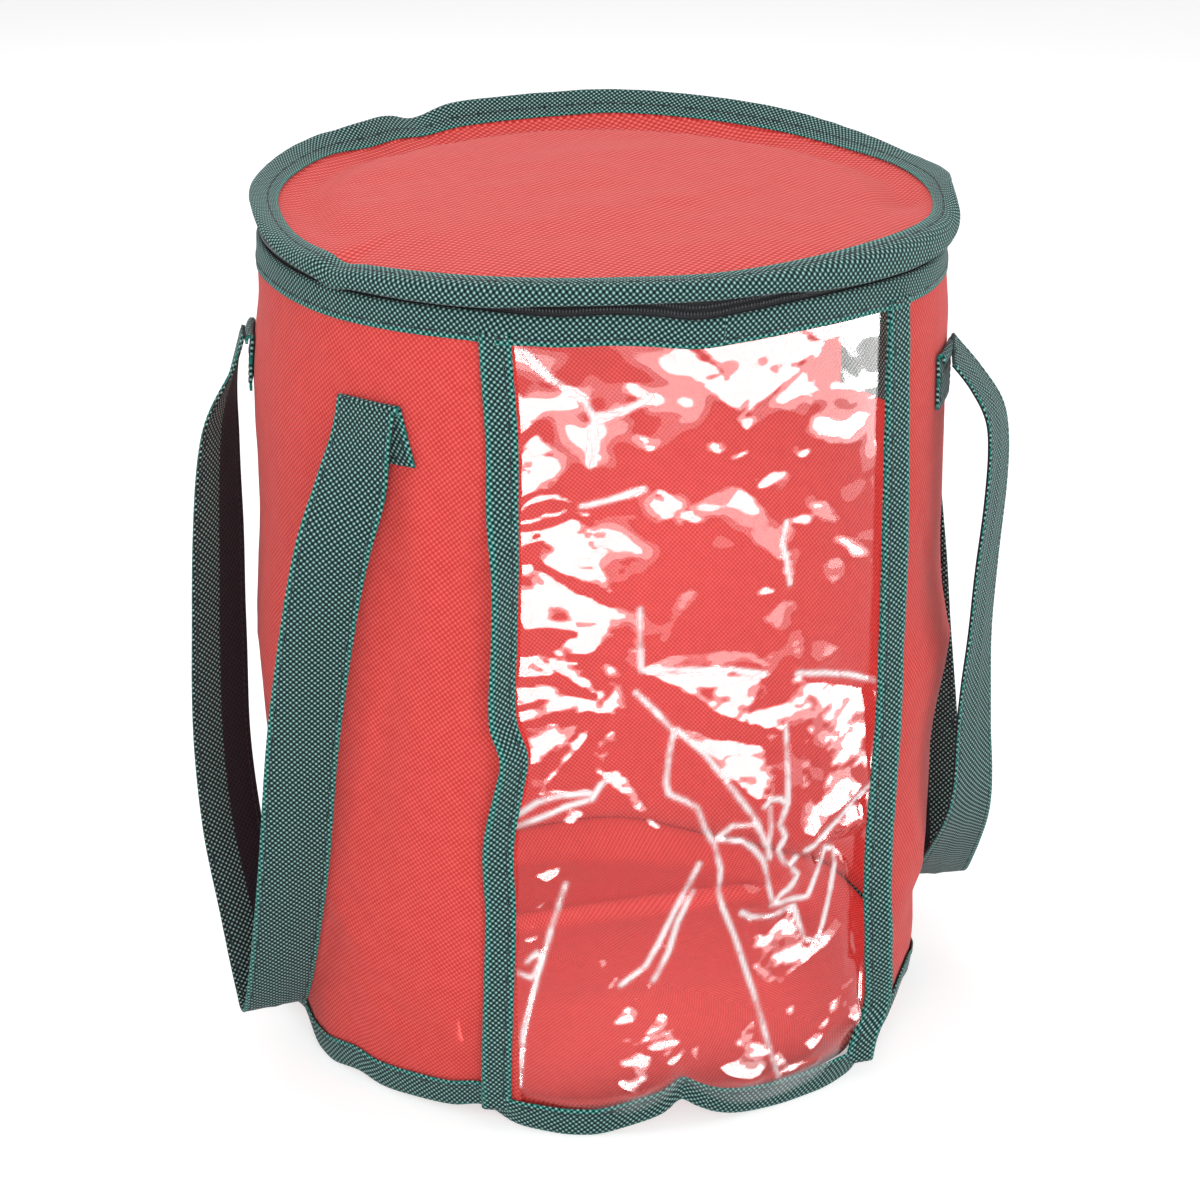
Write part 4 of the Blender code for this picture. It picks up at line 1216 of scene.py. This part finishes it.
def make_band():
    length = folded_length(band_outer_leg, band_fold_radius, band_outer_leg)
    middle = -cloth_thickness / 2
    top = band_high.z - tape_thickness / 2 - band_fold_radius

    def place(u, v):
        azimuth = 360.0 * u
        across, up = folded(v * length, band_outer_leg, band_fold_radius)
        out = middle + across
        if across > 0.0 and up < 0.0:
            out += band_draped(azimuth, -up / band_outer_leg)
        return wall_point(azimuth, top + up, out)

    round_length = 2 * math.pi * bag_radius
    made = from_grid(
        "mouth_band", 300, 18, (round_length, length), place, tape_finish, tape_thickness,
        ring=True, edges=(0.0, 1.0),
    )
    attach(made, "bag")
    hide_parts("top_band")


def foot_tape_point(azimuth, distance):
    across, down = folded(distance, foot_tape_outer_leg, foot_tape_fold_radius)
    base = foot_tape_fold_radius + tape_thickness / 2
    share = min(1.0, max(0.0, -down / foot_tape_outer_leg))
    out = across - foot_spread
    if across > 0.0:
        crossing = over_strips(
            azimuth, foot_bulge_height, foot_bulge_beside, foot_bulge_half_angle
        )
        out += foot_over_strips * crossing * eased(share * foot_bulge_drape)
        out += foot_spread * share
    return wall_point(azimuth, base - down, out)


def make_foot_tape():
    length = folded_length(foot_tape_outer_leg, foot_tape_fold_radius, foot_tape_inner_leg)
    round_length = 2 * math.pi * foot_radius

    def place(u, v):
        return foot_tape_point(turned(-360.0 * u), v * length)

    made = from_grid(
        "foot_tape", 330, 16, (round_length, length), place, tape_finish, tape_thickness,
        ring=True, edges=(0.0, 0.6, 1.0),
    )
    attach(made, "bag")
    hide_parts("bottom_binding")


def make_floor():
    reach = floor_seam_radius + floor_under_tape

    def place(u, v):
        share, azimuth = disc_share(u, v)
        radius = share * reach
        rise = eased((radius - floor_flat_radius) / (floor_seam_radius - floor_flat_radius))
        inner = min(radius, floor_seam_radius - 0.0010)
        spot = at_azimuth(azimuth, inner, 0.0)
        height = cloth_thickness + floor_seam_height * rise
        height += max(0.0, foot_lift(azimuth)) * 0.9 * rise
        fade = 1.0 - eased((radius - floor_fold_reach) / floor_fold_fade)
        for x1, y1, x2, y2, half_width, out in floor_folds:
            run = Vector((x2 - x1, y2 - y1))
            across = spot.xy - Vector((x1, y1))
            held = min(1.0, max(0.0, across.dot(run) / run.length_squared))
            height += out * bell((across - run * held).length, half_width) * fade
        wrinkle = noise.noise(spot * floor_wrinkle_scale) + 0.6
        height += floor_wrinkle_depth * wrinkle * fade
        drop = max(0.0, radius - floor_seam_radius)
        return Vector((spot.x, spot.y, max(cloth_thickness * 0.6, height - drop)))

    size = 2 * reach
    made = from_grid("floor_cloth", 90, 90, (size, size), place, wall_finish, cloth_thickness)
    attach(made, "bag")
    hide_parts("bottom_panel")


def zip_point(azimuth, height, out=0.0):
    """A place on the zip, which stands on the band's upper edge and follows its waves."""
    radius = (lower_tape_high.x - lower_tape_low.x) / 2 + out + mouth_flare(azimuth)
    return at_azimuth(azimuth, radius, height + mouth_lift(azimuth))


def make_zip():
    low = band_low.z + zip_under_band
    seam = (lower_coil_high.z + upper_coil_low.z) / 2
    half = zip_tape_thickness / 2

    def lower_place(u, v):
        return zip_point(zip_reach * (2 * u - 1), low + (seam - low) * v, -half)

    length = math.radians(2 * zip_reach) * bag_radius
    lower = from_grid(
        "zip_tape_bag", 240, 4, (length, seam - low), lower_place, zip_cloth_finish,
        zip_tape_thickness,
    )
    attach(lower, "bag")
    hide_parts("zip_tape_lower")

    start, sweep = upper_tape_start, upper_tape_end - upper_tape_start
    shown = lid_seam_height - seam
    width = shown + zip_under_lid

    def upper_place(u, v):
        azimuth = start + sweep * u
        run = v * width
        if run > shown:
            return under_rim(azimuth, hung_cloth_in + run - shown)
        knee = zip_point(azimuth, seam + zip_upright_run, -half)
        if run < zip_upright_run:
            return zip_point(azimuth, seam, -half).lerp(knee, run / zip_upright_run)
        hung = under_rim(azimuth, hung_cloth_in)
        return knee.lerp(hung, (run - zip_upright_run) / (shown - zip_upright_run))

    length = math.radians(sweep) * bag_radius
    upper = from_grid(
        "zip_tape_lid", 240, 8, (length, width), upper_place, zip_cloth_finish,
        zip_tape_thickness,
    )
    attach(upper, "lid")
    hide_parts("zip_tape_upper")
    make_teeth("zip_teeth_bag", "bag", "zip_coil_lower", -zip_reach, zip_reach,
               lower_coil_low.z, lower_coil_high.z, 0.0)
    make_teeth("zip_teeth_lid", "lid", "zip_coil_upper", upper_zip_start, upper_zip_end,
               upper_coil_low.z, upper_coil_high.z, 0.5)


@functools.lru_cache(maxsize=None)
def unit_bead():
    """A small round bead of few faces, the shape of each stitch and each zip tooth."""
    bm = bmesh.new()
    bmesh.ops.create_uvsphere(bm, u_segments=6, v_segments=4, radius=1.0)
    mesh = bpy.data.meshes.new("unit_bead")
    bm.to_mesh(mesh)
    bm.free()
    return mesh


def add_bead(bm, along, across, deep, middle, sizes):
    """One bead laid along three directions at three sizes."""
    turn = Matrix((along * sizes[0], across * sizes[1], deep * sizes[2])).transposed()
    first = len(bm.verts)
    bm.from_mesh(unit_bead())
    bm.verts.ensure_lookup_table()
    for vert in bm.verts[first:]:
        vert.co = middle + turn @ vert.co


def make_teeth(name, body, node, start, end, low, high, shift):
    """One half of a coil zip: a small tooth at every turn."""
    bm = bmesh.new()
    pitch = math.degrees(tooth_pitch / bag_radius)
    up = Vector((0.0, 0.0, 1.0))
    for step in range(int((end - start) / pitch)):
        azimuth = start + (step + shift) * pitch
        outward = outward_at(azimuth)
        along = outward.cross(up)
        middle = zip_point(azimuth, (low + high) / 2, tooth_out)
        sizes = (tooth_width / 2, (high - low) * tooth_overlap, tooth_depth / 2)
        add_bead(bm, along, up, outward, middle, sizes)
    made = finished(name, bm, zip_teeth_painted_glint_finish)
    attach(made, body)
    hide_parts(node)


def turned_up_share(azimuth):
    """How far the rim is turned up at an azimuth: 0 at the front, 1 at the back."""
    azimuth = turned(azimuth)
    left = (azimuth - rim_left_turn[0]) / (rim_left_turn[1] - rim_left_turn[0])
    right = (azimuth - rim_right_turn[0]) / (rim_right_turn[1] - rim_right_turn[0])
    return max(eased(left), eased(right))


@functools.lru_cache(maxsize=None)
def rim_path(azimuth):
    """The rim's centre line from the lid's seam to its hem: radius, height and slope by step."""
    up = turned_up_share(azimuth)
    back = rim_slope(azimuth)
    knee = rim_front_knee_angle + (back - rim_front_knee_angle) * up
    hem = rim_front_hem_angle + (back - rim_front_hem_angle) * up
    length = rim_front_length + (rim_back_length - rim_front_length) * up + hem_reach(azimuth)
    step = length / rim_path_steps
    wave = ripple(at_azimuth(azimuth, rim_wave_radius, 0.0), rim_wave_depth)
    radius, height = seam_radius(azimuth), lid_seam_height + seam_lift(azimuth)
    path = []
    for count in range(rim_path_steps + 1):
        along = count * step
        bend = eased((along - rim_knee_length + rim_bend_length / 2) / rim_bend_length)
        slope = math.radians(knee + (hem - knee) * bend)
        share = along / length
        path.append((radius + wave * share, height, slope))
        radius += math.cos(slope) * step
        height += math.sin(slope) * step
    return tuple(path), length


def rim_point(azimuth, along, across=0.0):
    """A point of the rim, that far from the seam along it and above its centre line."""
    path, length = rim_path(round(azimuth, 3))
    place = min(1.0, max(0.0, along / length)) * rim_path_steps
    at = min(int(place), rim_path_steps - 1)
    share = place - at
    first, second = path[at], path[at + 1]
    radius = first[0] + (second[0] - first[0]) * share
    height = first[1] + (second[1] - first[1]) * share
    slope = first[2] + (second[2] - first[2]) * share
    radius -= math.sin(slope) * across
    return at_azimuth(azimuth, radius, height + math.cos(slope) * across)


def under_rim(azimuth, along):
    """A point of cloth sewn under the rim, inside its tape."""
    return rim_point(azimuth, along, -rim_half * 0.5)


def rim_gathers(azimuth, share):
    """How far the rim's tape puckers, by its share of the way from the seam to the hem."""
    return ripple(at_azimuth(azimuth, rim_gather_radius, 0.0), rim_gather_depth) * share


def lid_surface(azimuth, radius):
    """Height of the lid's cloth: crowned, dished inside the turned-up rim, softly wrinkled."""
    seam = seam_radius(azimuth)
    share = radius / seam
    spot = at_azimuth(azimuth, radius, 0.0)
    crown = lid_crown * (1.0 - share * share)
    dish = bell(seam - radius - lid_dish_reach, lid_dish_width)
    dish *= lid_dish * turned_up_share(azimuth)
    edge = seam_lift(azimuth) * (share ** 6)
    fade = eased((seam - radius) / lid_calm_edge)
    slanted = Vector((spot.x * 9.0 + spot.y * 5.0, spot.y * 22.0 - spot.x * 9.0, 4.0))
    wrinkles = ripple(slanted, lid_fold_depth)
    wrinkles += ripple(spot, lid_wrinkle_depth, lid_wrinkle_scale)
    wrinkles *= 0.25 + 0.75 * fade
    wrinkles *= eased((seam - radius) / lid_sewn_edge)
    return lid_seam_height + crown - dish + edge + wrinkles


def map_from_above(made):
    """Lay the cloth's pattern straight across a round piece."""
    cloth_map = made.data.uv_layers["cloth"].data
    for loop in made.data.loops:
        spot = made.data.vertices[loop.vertex_index].co
        cloth_map[loop.index].uv = (spot.x, spot.y)


def make_lid():
    reach = lid_seam_radius + lid_under_tape

    def place(u, v):
        share, azimuth = disc_share(u, v)
        radius = share * (seam_radius(azimuth) + lid_under_tape)
        if radius <= seam_radius(azimuth):
            return at_azimuth(azimuth, radius, lid_surface(azimuth, radius))
        return rim_point(azimuth, radius - seam_radius(azimuth))

    size = 2 * reach
    made = from_grid("lid_cloth", 130, 130, (size, size), place, lid_finish, cloth_thickness)
    map_from_above(made)
    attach(made, "lid")
    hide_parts("lid_panel")


def make_lid_tape():
    """Tape folded round the lid's edge, its top leg first, then the fold and the leg below."""
    leg = rim_front_length
    length = folded_length(leg, rim_half, leg)

    def place(u, v):
        azimuth = turned(360.0 * u)
        across, along = folded((1.0 - v) * length, leg, rim_half)
        _path, full = rim_path(round(azimuth, 3))
        share = 1.0 + along / leg
        across += rim_gathers(azimuth, share)
        if along <= 0.0:
            return rim_point(azimuth, full * share, across)
        onward = rim_point(azimuth, full) - rim_point(azimuth, full - 0.001)
        return rim_point(azimuth, full, across) + onward.normalized() * along

    round_length = 2 * math.pi * (lid_seam_radius + rim_knee_length)
    made = from_grid(
        "lid_tape", 360, 26, (round_length, length), place, tape_finish, tape_thickness,
        ring=True, edges=(0.0, 1.0),
    )
    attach(made, "lid")
    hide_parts("lid_binding")


def make_hinge():
    radius = hinge_high.y - cloth_thickness / 2
    sweep = hinge_cloth_end - hinge_cloth_start
    low, high = hinge_low.z, hinge_high.z

    def place(u, v):
        wave = ripple(Vector((u * 5.0, v * 2.0, 7.0)), hinge_wave_depth)
        azimuth = hinge_cloth_start + sweep * u
        hung = under_rim(azimuth, hung_cloth_in)
        point = at_azimuth(azimuth, radius + wave, low + (hung.z - low) * v)
        share = (v - hinge_upright_share) / (1.0 - hinge_upright_share)
        return point.lerp(hung, eased(share))

    width = math.radians(sweep) * radius
    made = from_grid(
        "lid_hinge_cloth", 40, 16, (width, high - low), place, tape_finish, cloth_thickness,
        edges=(0.0, 1.0),
    )
    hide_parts("lid_hinge_strip")
    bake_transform(made)


def strap_frame(side):
    """Middle of the line between a strap's ends, the line's direction, outwards, half length."""
    front = at_azimuth(side * strap_front_azimuth, fold_radius, strap_fold_height)
    back = at_azimuth(side * strap_back_azimuth, fold_radius, strap_fold_height)
    middle = (front + back) / 2
    along = (back - front).normalized()
    outward = Vector((middle.x, middle.y, 0.0)).normalized()
    return middle, along, outward, (back - front).length / 2


def smooth_route(shares):
    """Points on one smooth curve through the shares, a few to each stretch."""
    points = []
    last = len(shares) - 1
    for start in range(last):
        before = shares[max(start - 1, 0)]
        after = shares[min(start + 2, last)]
        four = (before, shares[start], shares[start + 1], after)
        for step in range(strap_steps):
            t = step / strap_steps
            t2, t3 = t * t, t * t * t
            weights = (
                (-t3 + 2 * t2 - t) / 2,
                (3 * t3 - 5 * t2 + 2) / 2,
                (-3 * t3 + 4 * t2 + t) / 2,
                (t3 - t2) / 2,
            )
            points.append([
                sum(weight * point[item] for weight, point in zip(weights, four))
                for item in range(4)
            ])
    points.append(list(shares[last]))
    return points


def strap_stations(side, shares):
    """Place, direction, width and depth directions of a strap at each step, and its length."""
    middle, along, outward, half_line = strap_frame(side)
    lie = math.radians((strap_back_azimuth - strap_front_azimuth) / 2)
    route = smooth_route(shares)
    places = [
        middle + along * across * half_line + outward * out * strap_width
        - Vector((0.0, 0.0, strap_drop * down))
        for across, out, down, _turn in route
    ]
    stations = []
    run = 0.0
    for step, place in enumerate(places):
        tangent = places[min(step + 1, len(places) - 1)] - places[max(step - 1, 0)]
        tangent.normalize()
        swing = lie + (math.pi / 2 - lie) * route[step][3]
        wide = along * math.cos(swing) + outward * math.sin(swing)
        wide = (wide - tangent * wide.dot(tangent)).normalized()
        if step:
            run += (place - places[step - 1]).length
        stations.append((place, wide, tangent.cross(wide), run))
    return stations


def strap_wave(run, across, side):
    return ripple(Vector((run * 26.0, across * 40.0, side * 2.0)), strap_wave_depth)


def strap_section():
    """The strap's section: across, depth and the place across its own cloth, all the way round."""
    near = [(-across, depth) for across, depth in reversed(strap_half_profile[1:])]
    face = near + list(strap_half_profile)
    outer = [(across, depth, across + strap_width / 2) for across, depth in face]
    inner = [(across, -depth, strap_inner_middle - across) for across, depth in reversed(face)]
    return outer + inner


def make_strap(hand, side, shares):
    stations = strap_stations(side, shares)
    section = strap_section()
    count, steps = len(section), len(stations) - 1
    bm = bmesh.new()
    bmesh.ops.create_grid(bm, x_segments=steps, y_segments=count, size=0.5)
    cloth_map = bm.loops.layers.uv.new("cloth")
    edge_layer = bm.verts.layers.float.new("edge")
    for face in bm.faces:
        rows = [round((loop.vert.co.y + 0.5) * count) for loop in face.loops]
        for loop, row in zip(face.loops, rows):
            step = round((loop.vert.co.x + 0.5) * steps)
            across = section[row % count][2]
            if row == count:
                across = section[count - 1][2] + 0.0004
            loop[cloth_map].uv = (stations[step][3], across)
    for vert in bm.verts:
        step = round((vert.co.x + 0.5) * steps)
        across, depth, _flat = section[round((vert.co.y + 0.5) * count) % count]
        place, wide, deep, run = stations[step]
        depth += strap_wave(run, across, side)
        depth += strap_crease_depth * bell(across, strap_crease_width)
        vert[edge_layer] = strap_width / 2 - abs(across)
        vert.co = place + wide * across + deep * side * depth
    bmesh.ops.remove_doubles(bm, verts=bm.verts, dist=1e-6)
    rims = [edge for edge in bm.edges if edge.is_boundary]
    bmesh.ops.holes_fill(bm, edges=rims, sides=0)
    bmesh.ops.recalc_face_normals(bm, faces=bm.faces)
    made = finished(f"strap_{hand}", bm, strap_finish)
    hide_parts(f"handle_{hand}_strap")
    stitch_piece = make_strap_stitches(hand, side, stations)
    for piece in (made, stitch_piece):
        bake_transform(piece)


def stitch(bm, middle, along, outward):
    """One stitch of thread lying along a seam."""
    along = along.normalized()
    across = outward.cross(along).normalized()
    sizes = (stitch_length / 2, thread_width / 2, thread_depth / 2)
    add_bead(bm, along, across, along.cross(across), middle, sizes)


def stitch_run(bm, start, end, length, place):
    """Stitches between two places of a run; place(s) gives a point and the way out of the cloth."""
    count = max(1, round(length / stitch_pitch))
    for step in range(count):
        middle = start + (end - start) * (step + 0.5) / count
        near = (end - start) * 0.2 / count
        point, outward = place(middle)
        before, _way = place(middle - near)
        after, _way = place(middle + near)
        stitch(bm, point, after - before, outward)


def make_strap_stitches(hand, side, stations):
    bm = bmesh.new()
    runs = [station[3] for station in stations]
    length = runs[-1]
    for row in (-1, 1):
        for face in (-1, 1):
            def place(at):
                step = min(max(bisect.bisect_right(runs, at) - 1, 0), len(runs) - 2)
                share = (at - runs[step]) / (runs[step + 1] - runs[step])
                first, second = stations[step], stations[step + 1]
                middle = first[0].lerp(second[0], share)
                wide = first[1].lerp(second[1], share)
                deep = first[2].lerp(second[2], share)
                across = row * (strap_width / 2 - strap_stitch_in)
                lie = face * strap_stitch_lie + strap_wave(at, across, side)
                return middle + wide * across + deep * side * lie, deep * side * face

            stitch_run(bm, 0.004, length - 0.004, length, place)
    return finished(f"strap_{hand}_stitches", bm, thread_finish)


def make_strap_end(hand, place_name, azimuth, tilt):
    """The strap's end, sewn to the wall below and folded over at the top."""
    leg = sewn_length - strap_fold_radius
    length = leg + math.pi * strap_fold_radius + 0.002
    middle = strap_thickness * 0.6 + sewn_gap
    slant = math.tan(math.radians(tilt))

    def point(across, run, extra=0.0):
        if run < leg:
            out, up = middle - extra, run - leg
        elif run < leg + math.pi * strap_fold_radius:
            turn = (run - leg) / strap_fold_radius
            out = middle + strap_fold_radius * (1 - math.cos(turn)) - extra * math.cos(turn)
            up = (strap_fold_radius + extra) * math.sin(turn)
        else:
            out = middle + 2 * strap_fold_radius + extra
            up = leg + math.pi * strap_fold_radius - run
        height = strap_fold_height - strap_fold_radius + up
        shift = across - slant * min(0.0, up)
        return wall_point(azimuth + math.degrees(shift / bag_radius), height, out)

    def place(u, v):
        return point((v - 0.5) * strap_width, u * length)

    made = from_grid(
        f"strap_end_{hand}_{place_name}", 26, 12, (length, strap_width), place, tape_finish,
        sewn_cloth_thickness, edges=(0.0, 1.0),
    )
    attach(made, "bag")
    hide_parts(f"handle_{hand}_end_{place_name}")
    return point


def make_patch(hand, place_name, azimuth):
    """The patch behind a sewn strap end, inside the wall."""
    low, high = patch_low.z, patch_high.z

    def place(u, v):
        across = (v - 0.5) * patch_width
        height = low + (high - low) * (1.0 - u)
        out = -cloth_thickness - sewn_gap - tape_thickness
        return wall_point(azimuth + math.degrees(across / bag_radius), height, out)

    made = from_grid(
        f"patch_cloth_{hand}_{place_name}", 16, 12, (high - low, patch_width), place,
        tape_finish, tape_thickness, edges=(0.0, 1.0),
    )
    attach(made, "bag")
    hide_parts(f"patch_{hand}_{place_name}")


def make_bag_stitches(strap_ends):
    """All the thread that shows on the bag: band, foot, window tapes and strap ends."""
    bm = bmesh.new()
    round_length = 2 * math.pi * bag_radius
    top = band_high.z - tape_thickness / 2 - band_fold_radius
    band_level = top - band_outer_leg + band_stitch_rise
    proud = tape_thickness / 2 + thread_depth * 0.2

    def on_band(azimuth):
        drop = (top - band_level) / band_outer_leg
        out = band_fold_radius - cloth_thickness / 2 + proud
        out += band_draped(azimuth, drop)
        return wall_point(azimuth, band_level, out), outward_at(azimuth)

    stitch_run(bm, 0.0, 360.0, round_length, on_band)

    def on_foot(azimuth):
        outward = outward_at(azimuth)
        return foot_tape_point(azimuth, foot_stitch_drop) + outward * proud, outward

    stitch_run(bm, -180.0, 180.0, 2 * math.pi * foot_radius, on_foot)
    for side in (-1, 1):
        def on_strip(height):
            root, reach, square = strip_frame(side, height)
            out = strip_fold_radius + strip_wave(side, height) + proud
            return root + reach * strip_stitch_in + square * out, square

        stitch_run(bm, strip_foot + 0.006, band_level - 0.003, strip_top - strip_foot, on_strip)
    for azimuth, point in strap_ends:
        half = strap_width / 2 - sewn_stitch_in
        lift = sewn_cloth_thickness / 2 + thread_depth * 0.3
        box_top = sewn_length * sewn_box_share
        for level in (sewn_row_rise, box_top):
            def row(across):
                return point(across, level, -lift), outward_at(azimuth)

            stitch_run(bm, -half, half, 2 * half, row)
        for across in (-half, half):
            def side_row(run):
                return point(across, run, -lift), outward_at(azimuth)

            stitch_run(bm, sewn_row_rise, box_top, box_top, side_row)
    made = finished("bag_stitches", bm, thread_finish)
    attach(made, "bag")


def make_lid_stitches():
    bm = bmesh.new()
    round_length = 2 * math.pi * (lid_seam_radius + rim_stitch_in)
    proud = rim_half + tape_thickness / 2 + thread_depth * 0.2

    def on_rim(azimuth):
        azimuth = turned(azimuth)
        gathers = rim_gathers(azimuth, rim_stitch_in / rim_front_length)
        point = rim_point(azimuth, rim_stitch_in, proud + gathers)
        return point, point - rim_point(azimuth, rim_stitch_in, 0.0)

    stitch_run(bm, -180.0, 180.0, round_length, on_rim)
    made = finished("lid_stitches", bm, thread_finish)
    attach(made, "lid")


def finish_zip_metal():
    for name in ("zip_slider", "zip_pull", "zip_stop_start", "zip_stop_end_lower",
                 "zip_stop_end_upper"):
        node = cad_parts[name]
        for slot in node.material_slots:
            slot.material = metal_finish


def make_stage():
    """A plain white floor that keeps the bag's shadow, and a white world round it. Reflections
    look past the floor, to the cards below its level."""
    bm = bmesh.new()
    bmesh.ops.create_circle(bm, cap_ends=True, segments=96, radius=30.0)
    finish = Finish("studio_floor")
    path = finish.node("LightPath")
    seen = finish.maths("ADD", path.outputs["Is Camera Ray"], path.outputs["Is Glossy Ray"])
    seen = finish.maths("ADD", seen, path.outputs["Is Transmission Ray"])
    matt = finish.node("BsdfDiffuse", {"Color": colour(floor_tone, floor_tone, floor_tone)})
    glow = finish.node("Emission", {"Strength": finish.maths("MULTIPLY", seen, floor_glow)})
    both = finish.node("AddShader", {0: matt.outputs[0], 1: glow.outputs[0]})
    floor = finished("studio_floor", bm, finish.done(both))
    floor.visible_glossy = False
    world = bpy.data.worlds.new("studio_world")
    bpy.context.scene.world = world
    world.use_nodes = True
    tree = world.node_tree
    tree.nodes.clear()
    output = tree.nodes.new("ShaderNodeOutputWorld")
    background = tree.nodes.new("ShaderNodeBackground")
    path = tree.nodes.new("ShaderNodeLightPath")
    either = tree.nodes.new("ShaderNodeMath")
    either.operation = "MAXIMUM"
    tree.links.new(path.outputs["Is Camera Ray"], either.inputs[0])
    tree.links.new(path.outputs["Is Glossy Ray"], either.inputs[1])
    level = tree.nodes.new("ShaderNodeMapRange")
    level.inputs["To Min"].default_value = world_light
    level.inputs["To Max"].default_value = world_shown
    tree.links.new(either.outputs[0], level.inputs["Value"])
    tree.links.new(level.outputs[0], background.inputs["Strength"])
    tree.links.new(background.outputs[0], output.inputs["Surface"])


def make_lamp(name, azimuth, distance, height, width, tall, radiance, aim=0.18):
    """A softbox that faces the bag, as bright as its radiance, where 1 is white."""
    lamp = bpy.data.lights.new(name, "AREA")
    lamp.shape = "RECTANGLE"
    lamp.size, lamp.size_y = width, tall
    lamp.energy = radiance * math.pi * width * tall
    made = bpy.data.objects.new(name, lamp)
    bpy.context.scene.collection.objects.link(made)
    made.location = at_azimuth(azimuth, distance, height)
    away = Vector((0.0, 0.0, aim)) - made.location
    made.rotation_euler = away.to_track_quat("-Z", "Y").to_euler()
    made.visible_camera = False
    return made


def make_card(name, azimuth, half_angle, low, high, radiance):
    """A far bright card seen only in reflections, between two elevations in degrees."""
    bottom, top, half_width = [
        card_distance * math.tan(math.radians(angle)) for angle in (low, high, half_angle)
    ]
    middle = card_eye_height + (bottom + top) / 2
    made = make_lamp(
        name, azimuth, card_distance, middle, 2 * half_width, top - bottom, radiance, aim=middle
    )
    made.visible_diffuse = False


def make_lamps():
    for softbox in softboxes:
        make_lamp(*softbox)
    inside = make_lamp("inside_softbox", 0.0, 0.11, 0.19, 0.20, 0.30, 1.95, aim=0.19)
    inside.visible_glossy = False
    cards = (
        ("bright_card", bright_card_low, bright_card_high, bright_card_radiance),
        ("dim_card", dim_card_low, bright_card_low, dim_card_radiance),
        ("faint_card", faint_card_low, dim_card_low, faint_card_radiance),
    )
    for azimuth, place_name in front_cards:
        for name, low, high, radiance in cards:
            make_card(f"{name}_{place_name}", azimuth, card_half_angle, low, high, radiance)
    make_card("side_card_left", -88.0, 26.0, side_card_low, side_card_high, 18.0)
    make_card("side_card_right", 124.0, 20.0, side_card_low, side_card_high, 9.0)


def make_camera():
    camera = bpy.data.cameras.new("photo_camera")
    camera.lens = camera_lens
    camera.sensor_width = sensor_width
    camera.sensor_fit = "HORIZONTAL"
    made = bpy.data.objects.new("photo_camera", camera)
    bpy.context.scene.collection.objects.link(made)
    made.location = camera_place()
    away = camera_target - camera_place()
    made.rotation_euler = away.to_track_quat("-Z", "Y").to_euler()
    bpy.context.scene.camera = made


make_camera()
make_wall()
make_film()
make_strips()
make_band()
make_foot_tape()
make_floor()
make_zip()
make_lid()
make_lid_tape()
make_hinge()
ends = []
for hand, side in (("left", -1), ("right", 1)):
    for place_name, azimuth in (("front", strap_front_azimuth), ("back", strap_back_azimuth)):
        tilt = strap_end_tilts.get((hand, place_name), 0.0)
        point = make_strap_end(hand, place_name, side * azimuth, tilt)
        ends.append((side * azimuth, point))
        make_patch(hand, place_name, side * azimuth)
make_strap("left", -1, left_route_shares)
make_strap("right", 1, right_route_shares)
make_bag_stitches(ends)
make_lid_stitches()
finish_zip_metal()
make_stage()
make_lamps()
bpy.context.scene.view_settings.view_transform = "Standard"
